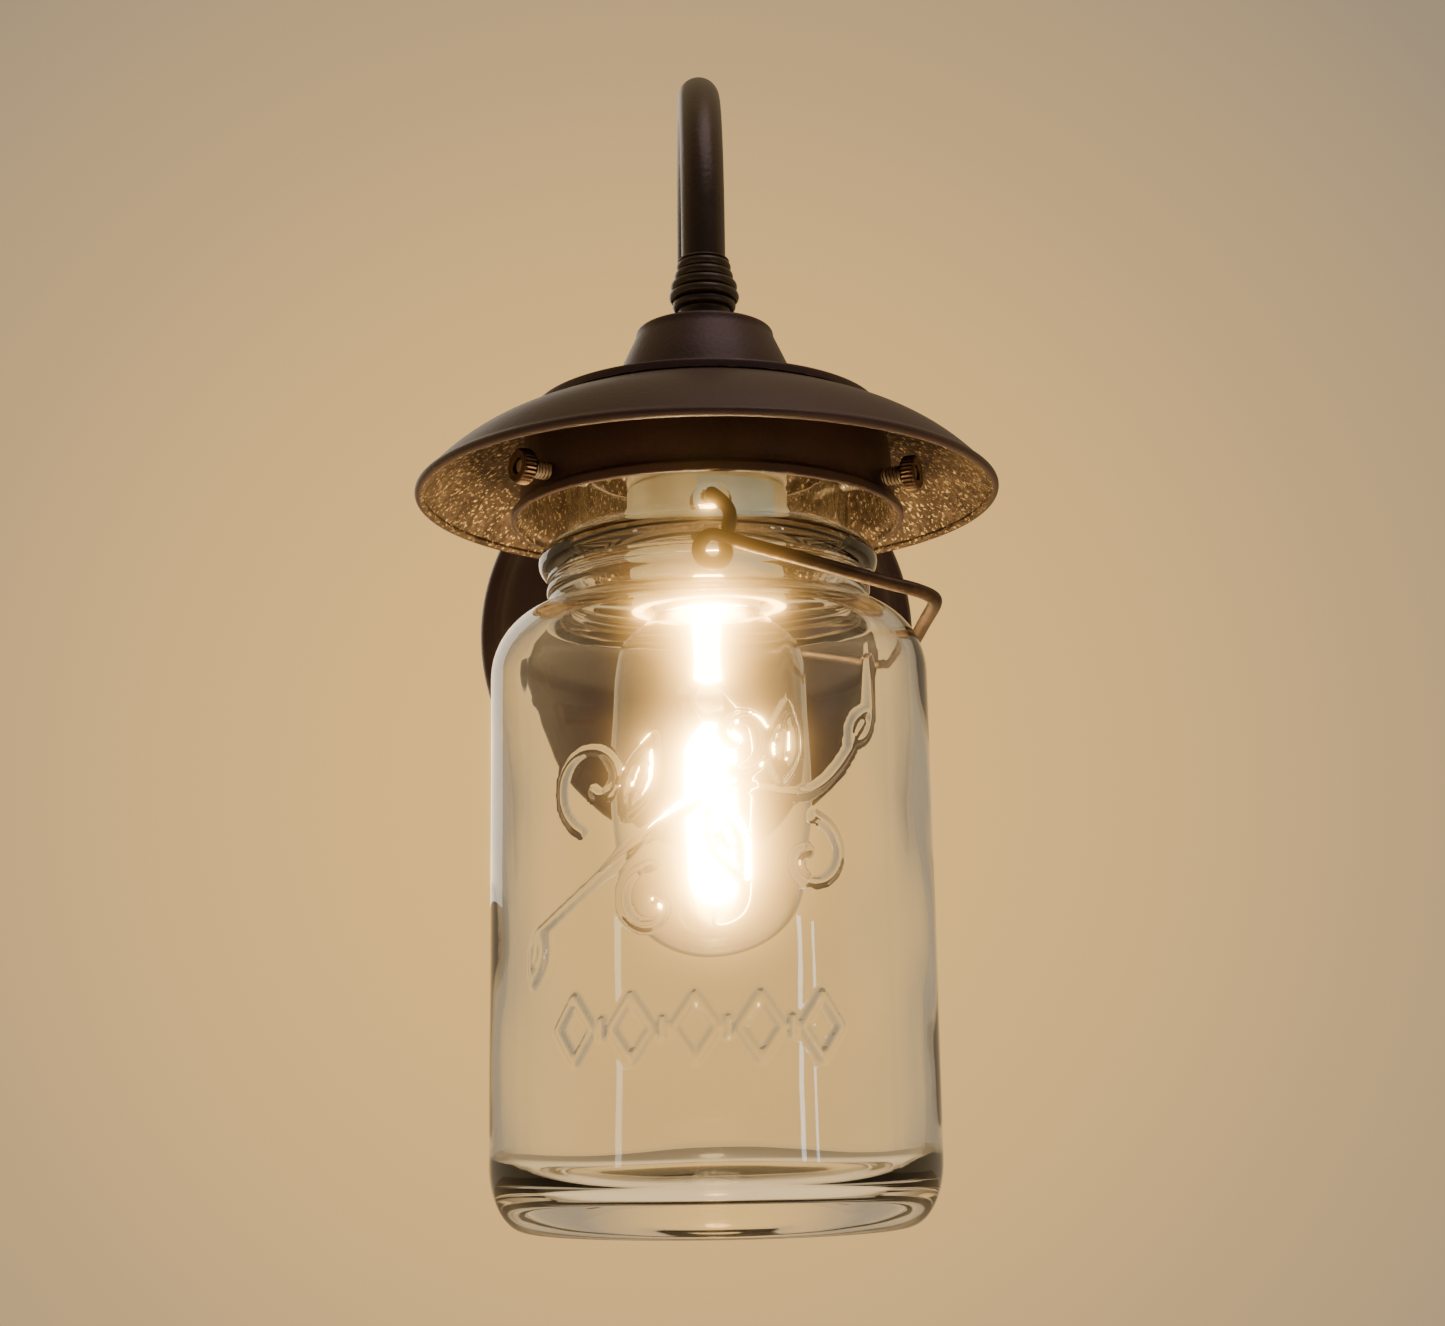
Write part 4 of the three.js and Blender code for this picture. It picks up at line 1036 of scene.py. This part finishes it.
def makeBulbCap(size):
    root = size["capRadius"] - 0.75
    low, high = size["capBottom"], -5.0

    def thread(a, r, h):
        # a rolled round thread, one pitch in each turn, faded at both ends
        phase = (h / size["pitch"] - a / (2 * np.pi)) % 1
        fade = np.clip((h - low - 2.4) / 1.6, 0, 1) * np.clip((-7.2 - h) / 1.6, 0, 1)
        return 0.72 * fade * (0.5 - 0.5 * np.cos(2 * np.pi * phase)) * (r > 11.9)

    profile = filled(rounded([
        (root - 0.6, low), (root, low, 0.2), (root, high - 1.9, 0.8), (10.6, high - 0.5, 1.2), (9, high, 0.4),
        (8.6, high - 0.6, 0.2), (root - 0.6, high - 2.6, 0.8),
    ], 6), 0.4)
    makePiece("bulb_screw_cap", spun(profile, 96, relief=thread), capAluminium, "bulb",
              ["bulb_cap"], 60)


def makeBulbInside(size):
    stem = rounded([
        (0, -14), (9.4, -14, 0.4), (9.7, -14.9, 0.5), (6, -17.4, 2), (3.7, -22, 3), (3.0, -37, 3),
        (3.4, -42, 0.8), (0, -43, 0),
    ], 8)
    # the mount's glass carries a painted glow that stands in for the capsule's light
    makePiece("bulb_mount", spun(stem, 64), stemGlassPaintedGlow, "bulb", ["bulb_stem"], 50,
              castsShadow=False)
    top, bottom, radius = size["capsuleTop"], size["capsuleBottom"], size["capsuleRadius"]
    shell = np.concatenate([
        rounded([
            (0, top), (1.6, top, 0.4), (2.6, top - 1.2, 0.8), (radius, top - 5, 3), (radius, bottom + 8),
        ], 10),
        ellipseArc(0, bottom + radius, radius, radius, 0, -90, 16),
    ])
    shell[-1, 0] = 0
    makePiece("halogen_capsule", spun(shell, 64), hotCapsule, "bulb",
              ["bulb_capsule", "bulb_filament"], 60, castsShadow=False)
    front = lampY / mm
    longWire = curveThrough([(x, front, z) for x, z in (
        (2, -42), (4.6, -46), (8.6, -52), (8.8, -72), (8.4, -90), (5, -95.4), (0, -96.4), (-0.2, -92.6),
    )], 120)
    makePiece("support_wire_long", swept(longWire, 0.5, 12, (0, 1, 0)), zincSteel, "bulb",
              ["bulb_wire_long"], 60)
    shortWire = curveThrough([(x, front, z) for x, z in (
        (-2, -42), (-3.4, -45.6), (-3.4, -48), (-1.2, -51.6),
    )], 40)
    makePiece("support_wire_short", swept(shortWire, 0.5, 12, (0, 1, 0)), zincSteel, "bulb",
              ["bulb_wire_short"], 60)


makeBulbGlass(bulb)
makeBulbCap(bulb)
makeBulbInside(bulb)
print("bulb made")

# jar
jar = {
    "radius": 49.0, "bottom": -161.2, "top": 8.0, "rim": 32.3, "wall": 3.0,
    "bossHeight": -8.6, "boss": 4.3, "bossStand": 4.4, "hole": 1.85, "stroke": 1.05, "raised": 0.6,
}


def vineLines():
    # a stem in one slow wave with spiral tendrils and leaves, and a line of lozenges under it,
    # as points in mm round the front and up it
    t = np.linspace(0, 1, 260)
    lines = [np.stack([-41 + 71 * t, -100 + 40 * t - 3.0 * t * t + 5.0 * np.sin(2 * np.pi * t * t)], 1)]

    def tendril(x, z, start, turns, radius, way):
        # a spiral that tightens as it turns
        s = np.linspace(0, 1, 150)
        reach = radius * (1 - 0.82 * s)
        angle = start + way * 2 * np.pi * turns * s
        lines.append(np.stack([x + reach * np.cos(angle), z + reach * np.sin(angle)], 1))

    def leaf(x, z, heading, length, width):
        # two bowed edges that meet in a point, and a rib half as long
        s = np.linspace(0, 1, 60)
        bow = width * np.sin(np.pi * s) * (1 - 0.35 * s)
        along = np.array([np.cos(heading), np.sin(heading)])
        across = np.array([-along[1], along[0]])
        middle = np.array([x, z]) + length * s[:, None] * along
        lines.append(middle + bow[:, None] * across)
        lines.append(middle - bow[:, None] * across)
        lines.append(middle[:36])

    tendril(-25.5, -70.5, -1.9, 1.0, 10.5, -1)
    tendril(19.0, -86.5, 1.45, 0.9, 8.6, -1)
    tendril(-13.5, -95.5, 1.5, 0.9, 8.0, 1)
    tendril(4.5, -62.0, -1.7, 0.9, 7.4, 1)
    leaf(-40.5, -99.5, math.radians(-103), 11, 2.3)
    leaf(-18.5, -77.5, math.radians(70), 17, 3.6)
    leaf(-1, -76.5, math.radians(-66), 15, 3.4)
    leaf(13, -71, math.radians(84), 16, 3.4)
    leaf(29.5, -62.5, math.radians(52), 10, 2.4)
    middle, level, half, tall, pitch, tick = -5, -120, 4.4, 6.4, 13, 1.6
    lozenge = np.array([(0, tall), (half, 0), (0, -tall), (-half, 0), (0, tall)])
    for x in middle + pitch * np.arange(-2, 3):
        lines.append(lozenge + [x, level])
    for x in middle + pitch * np.arange(-1.5, 2):
        lines.append(np.array([(x, level + tick), (x, level - tick)]))
    return np.concatenate([filled(line, 0.35) for line in lines])


def distanceTo(points, across, up):
    # the distance from each place to the nearest point of the drawing
    flat = np.stack([across.ravel(), up.ravel()], 1).astype(np.float32)
    points = points.astype(np.float32)
    nearest = [
        np.sqrt(((part[:, None] - points[None]) ** 2).sum(-1).min(1))
        for part in np.array_split(flat, max(1, len(flat) // 2000))
    ]
    return np.concatenate(nearest).reshape(across.shape)


def jarOutline(size):
    low, top, wall = size["bottom"], size["top"], size["wall"]
    underside = rounded([
        (0, low + 3.4), (20, low + 3.0, 8), (33, low + 2.0, 2.5), (36.4, low + 0.5, 1.6), (38.6, low, 1.0),
        (41.8, low + 0.08),
    ], 7)
    heel = ellipseArc(41, -147.2, 8, 14, -84, 0, 18)
    side = filled(np.array([(size["radius"], -147.2), (size["radius"], -140)]), 2.4)
    drawn = filled(np.array([(size["radius"], -132), (size["radius"], -54)]), 0.55)
    shoulder = ellipseArc(34, -41.3, 15, 16, 0, 80, 20)
    neck = rounded([
        (36.3, -25.6), (35.8, -24.2, 0.8), (35.9, -22.6, 0.6), (36.7, -22.0, 0.5), (36.7, -20.6, 0.5),
        (35.9, -20.0, 0.5), (35.9, -18.8, 0.5), (36.6, -18.4, 0.5),
    ], 4)
    bead = ellipseArc(34.4, -14.7, 4.1, 3.9, -58, 66, 18)
    reach = size["rim"]
    ledge = rounded([
        (35.4, -10.9), (33.6, -10.5, 0.7), (32.5, -9.8, 0.6), (reach, -8.6, 0.5), (reach, -8),
    ], 4)
    collar = filled(np.array([(reach, -13.0), (reach, -3.4)]), 0.5)
    collar = collar[collar[:, 1] > -8.0]
    rim = ellipseArc(reach - 1.45, top - 1.5, 1.45, 1.5, 0, 180, 16)
    bore = reach - wall + 0.1
    inside = np.concatenate([
        filled(np.array([(bore, top - 3), (bore, -9.5)]), 2.0),
        rounded([(bore, -10), (bore + 0.4, -12, 1), (32.8, -15.4, 2), (32.9, -24, 2), (35.2, -27.6, 2)], 5),
        ellipseArc(34, -41.3, 12, 13, 80, 0, 14),
        filled(np.array([(46, -44), (46, -143)]), 4.0),
        ellipseArc(38.4, low + 16, 7.6, 8, 0, -80, 14),
        rounded([(38, low + 7.9), (32, low + 8.4, 3), (18, low + 10.2, 4), (0, low + 11)], 8),
    ])
    inside[-1, 0] = 0
    outer = np.concatenate([underside, heel, side[1:], drawn, shoulder, neck, bead, ledge, collar, rim])
    # the whole line, and how many of its points are on the outside
    return withoutRepeats(np.concatenate([outer, inside])), len(withoutRepeats(outer))


def makeJar(size):
    profile, outerCount = jarOutline(size)
    front = -np.pi / 2
    angles = np.concatenate([
        np.radians(np.arange(-54, 48, 0.74)),
        np.radians(np.arange(48, 168, 3.3)),
        np.radians(np.arange(168, 192, 0.75)),
        np.radians(np.arange(192, 305.5, 3.3)),
    ]) + front
    vine = vineLines()

    def relief(a, r, h):
        outside = np.arange(r.shape[1])[None, :] < outerCount
        turn = (a - front + np.pi) % (2 * np.pi) - np.pi
        across = turn * r
        grown = np.zeros(r.shape)
        # raised drawing with a round section
        rows = np.where((h[0] > -132.5) & (h[0] < -53) & (np.arange(len(h[0])) < outerCount))[0]
        columns = np.where(np.abs(turn[:, 0] + math.radians(3)) < math.radians(51))[0]
        block = np.ix_(columns, rows)
        near = distanceTo(vine, across[block], h[block])
        grown[block] += size["raised"] * np.sqrt(np.clip(1 - (near / size["stroke"]) ** 2, 0, 1))
        # a boss in front and one behind, each with a hole for the wire
        backTurn = (a - front) % (2 * np.pi) - np.pi
        for spin in (turn, backTurn):
            span = np.hypot(spin * size["rim"], h - size["bossHeight"])
            lump = size["bossStand"] * np.clip(1.15 - (span / size["boss"]) ** 2.6, 0, 1) ** 0.6
            pit = 3.2 * np.clip((size["hole"] - span) / 0.35, 0, 1)
            grown += outside * (h < 0) * (h > -13) * (r < 34) * (lump - pit)
        # two mould seams and slow unevenness
        seam = np.minimum(np.abs(turn - np.pi / 2), np.abs(turn + np.pi / 2)) * r
        grown += 0.16 * outside * (h < -26) * (h > -150) * np.exp(-(seam / 0.7) ** 2)
        wave = np.sin(3 * a + h * 0.045) * np.sin(0.11 * h + 2 * a) + 0.6 * np.sin(5 * a - 0.07 * h + 1.3)
        grown += np.where(outside, 0.05, 0.28) * wave * (r > 24) * (h < -20)
        return grown

    surface = spun(profile, angles=angles, relief=relief)
    makePiece("bail_jar", surface, jarGlass, "jar", ["jar"], 50, castsShadow=False)


makeJar(jar)
print("jar made")

# lever wire
lever = {
    "radius": 1.5, "plane": 40.6, "pivot": -8.6, "hookEnd": 33.7, "eye": 2.9, "eyeHeight": -21.6,
    "eyeTurn": 0.81, "pitch": 3.3, "end": (47.5, -31.2),
}


def makeLever(size):
    plane, pivot, eyeHeight = size["plane"], size["pivot"], size["eyeHeight"]
    endX, endZ = size["end"]
    turn = np.linspace(0, size["eyeTurn"], 12)
    angle = np.pi * 0.12 - 2 * np.pi * turn
    eye = np.stack([
        size["eye"] * np.cos(angle), -(plane + turn * size["pitch"]), eyeHeight + size["eye"] * np.sin(angle),
    ], 1)
    hook = [
        (0, -size["hookEnd"], pivot), (0, -(plane - 1.6), pivot), (0.6, -plane, pivot - 0.8),
        (3.2, -(plane + 0.1), pivot - 3.4), (3.6, -(plane + 0.1), pivot - 7),
    ]
    reach = [
        (6, -(plane + 2.2), eyeHeight + 1.4), (20, -(plane + 1.2), eyeHeight - 2.4),
        (36, -(plane + 0.2), endZ + 2.7), (endX - 5.2, -(plane - 0.6), endZ + 1.2),
        (endX - 1.4, -(plane - 3.2), endZ + 0.3), (endX - 0.1, -(plane - 8), endZ), (endX, -18, endZ),
    ]
    half = np.concatenate([hook, eye, reach])
    route = np.concatenate([half, [(endX, 0, endZ)], half[::-1] * [1, -1, 1]])
    path = curveThrough(route, 620) + [0, lampY / mm, 0]
    surface = swept(path, size["radius"], 20)
    makePiece("lever", surface, leverSteel, "lever", ["lever_wire"], 60)


makeLever(lever)
print("lever made")

# CAD pieces that keep their own mesh
keptFinish = {
    zincSteel: ["crossbar", "stud_upper", "stud_lower", "arm_lock_washer", "arm_locknut", "nipple",
                "nipple_nut", "terminal_screw_silver", "bulb_contact"],
    brassFinish: ["socket_screw_shell", "socket_contact", "terminal_screw_brass"],
    greenPaint: ["ground_screw"],
    blackPlastic: ["bulb_insulator"],
}
for finish, names in keptFinish.items():
    for name in names:
        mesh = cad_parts[name].data
        mesh.materials.clear()
        mesh.materials.append(finish)
print("kept pieces finished")

scene.cycles.transmission_bounces = 24
scene.cycles.max_bounces = 28
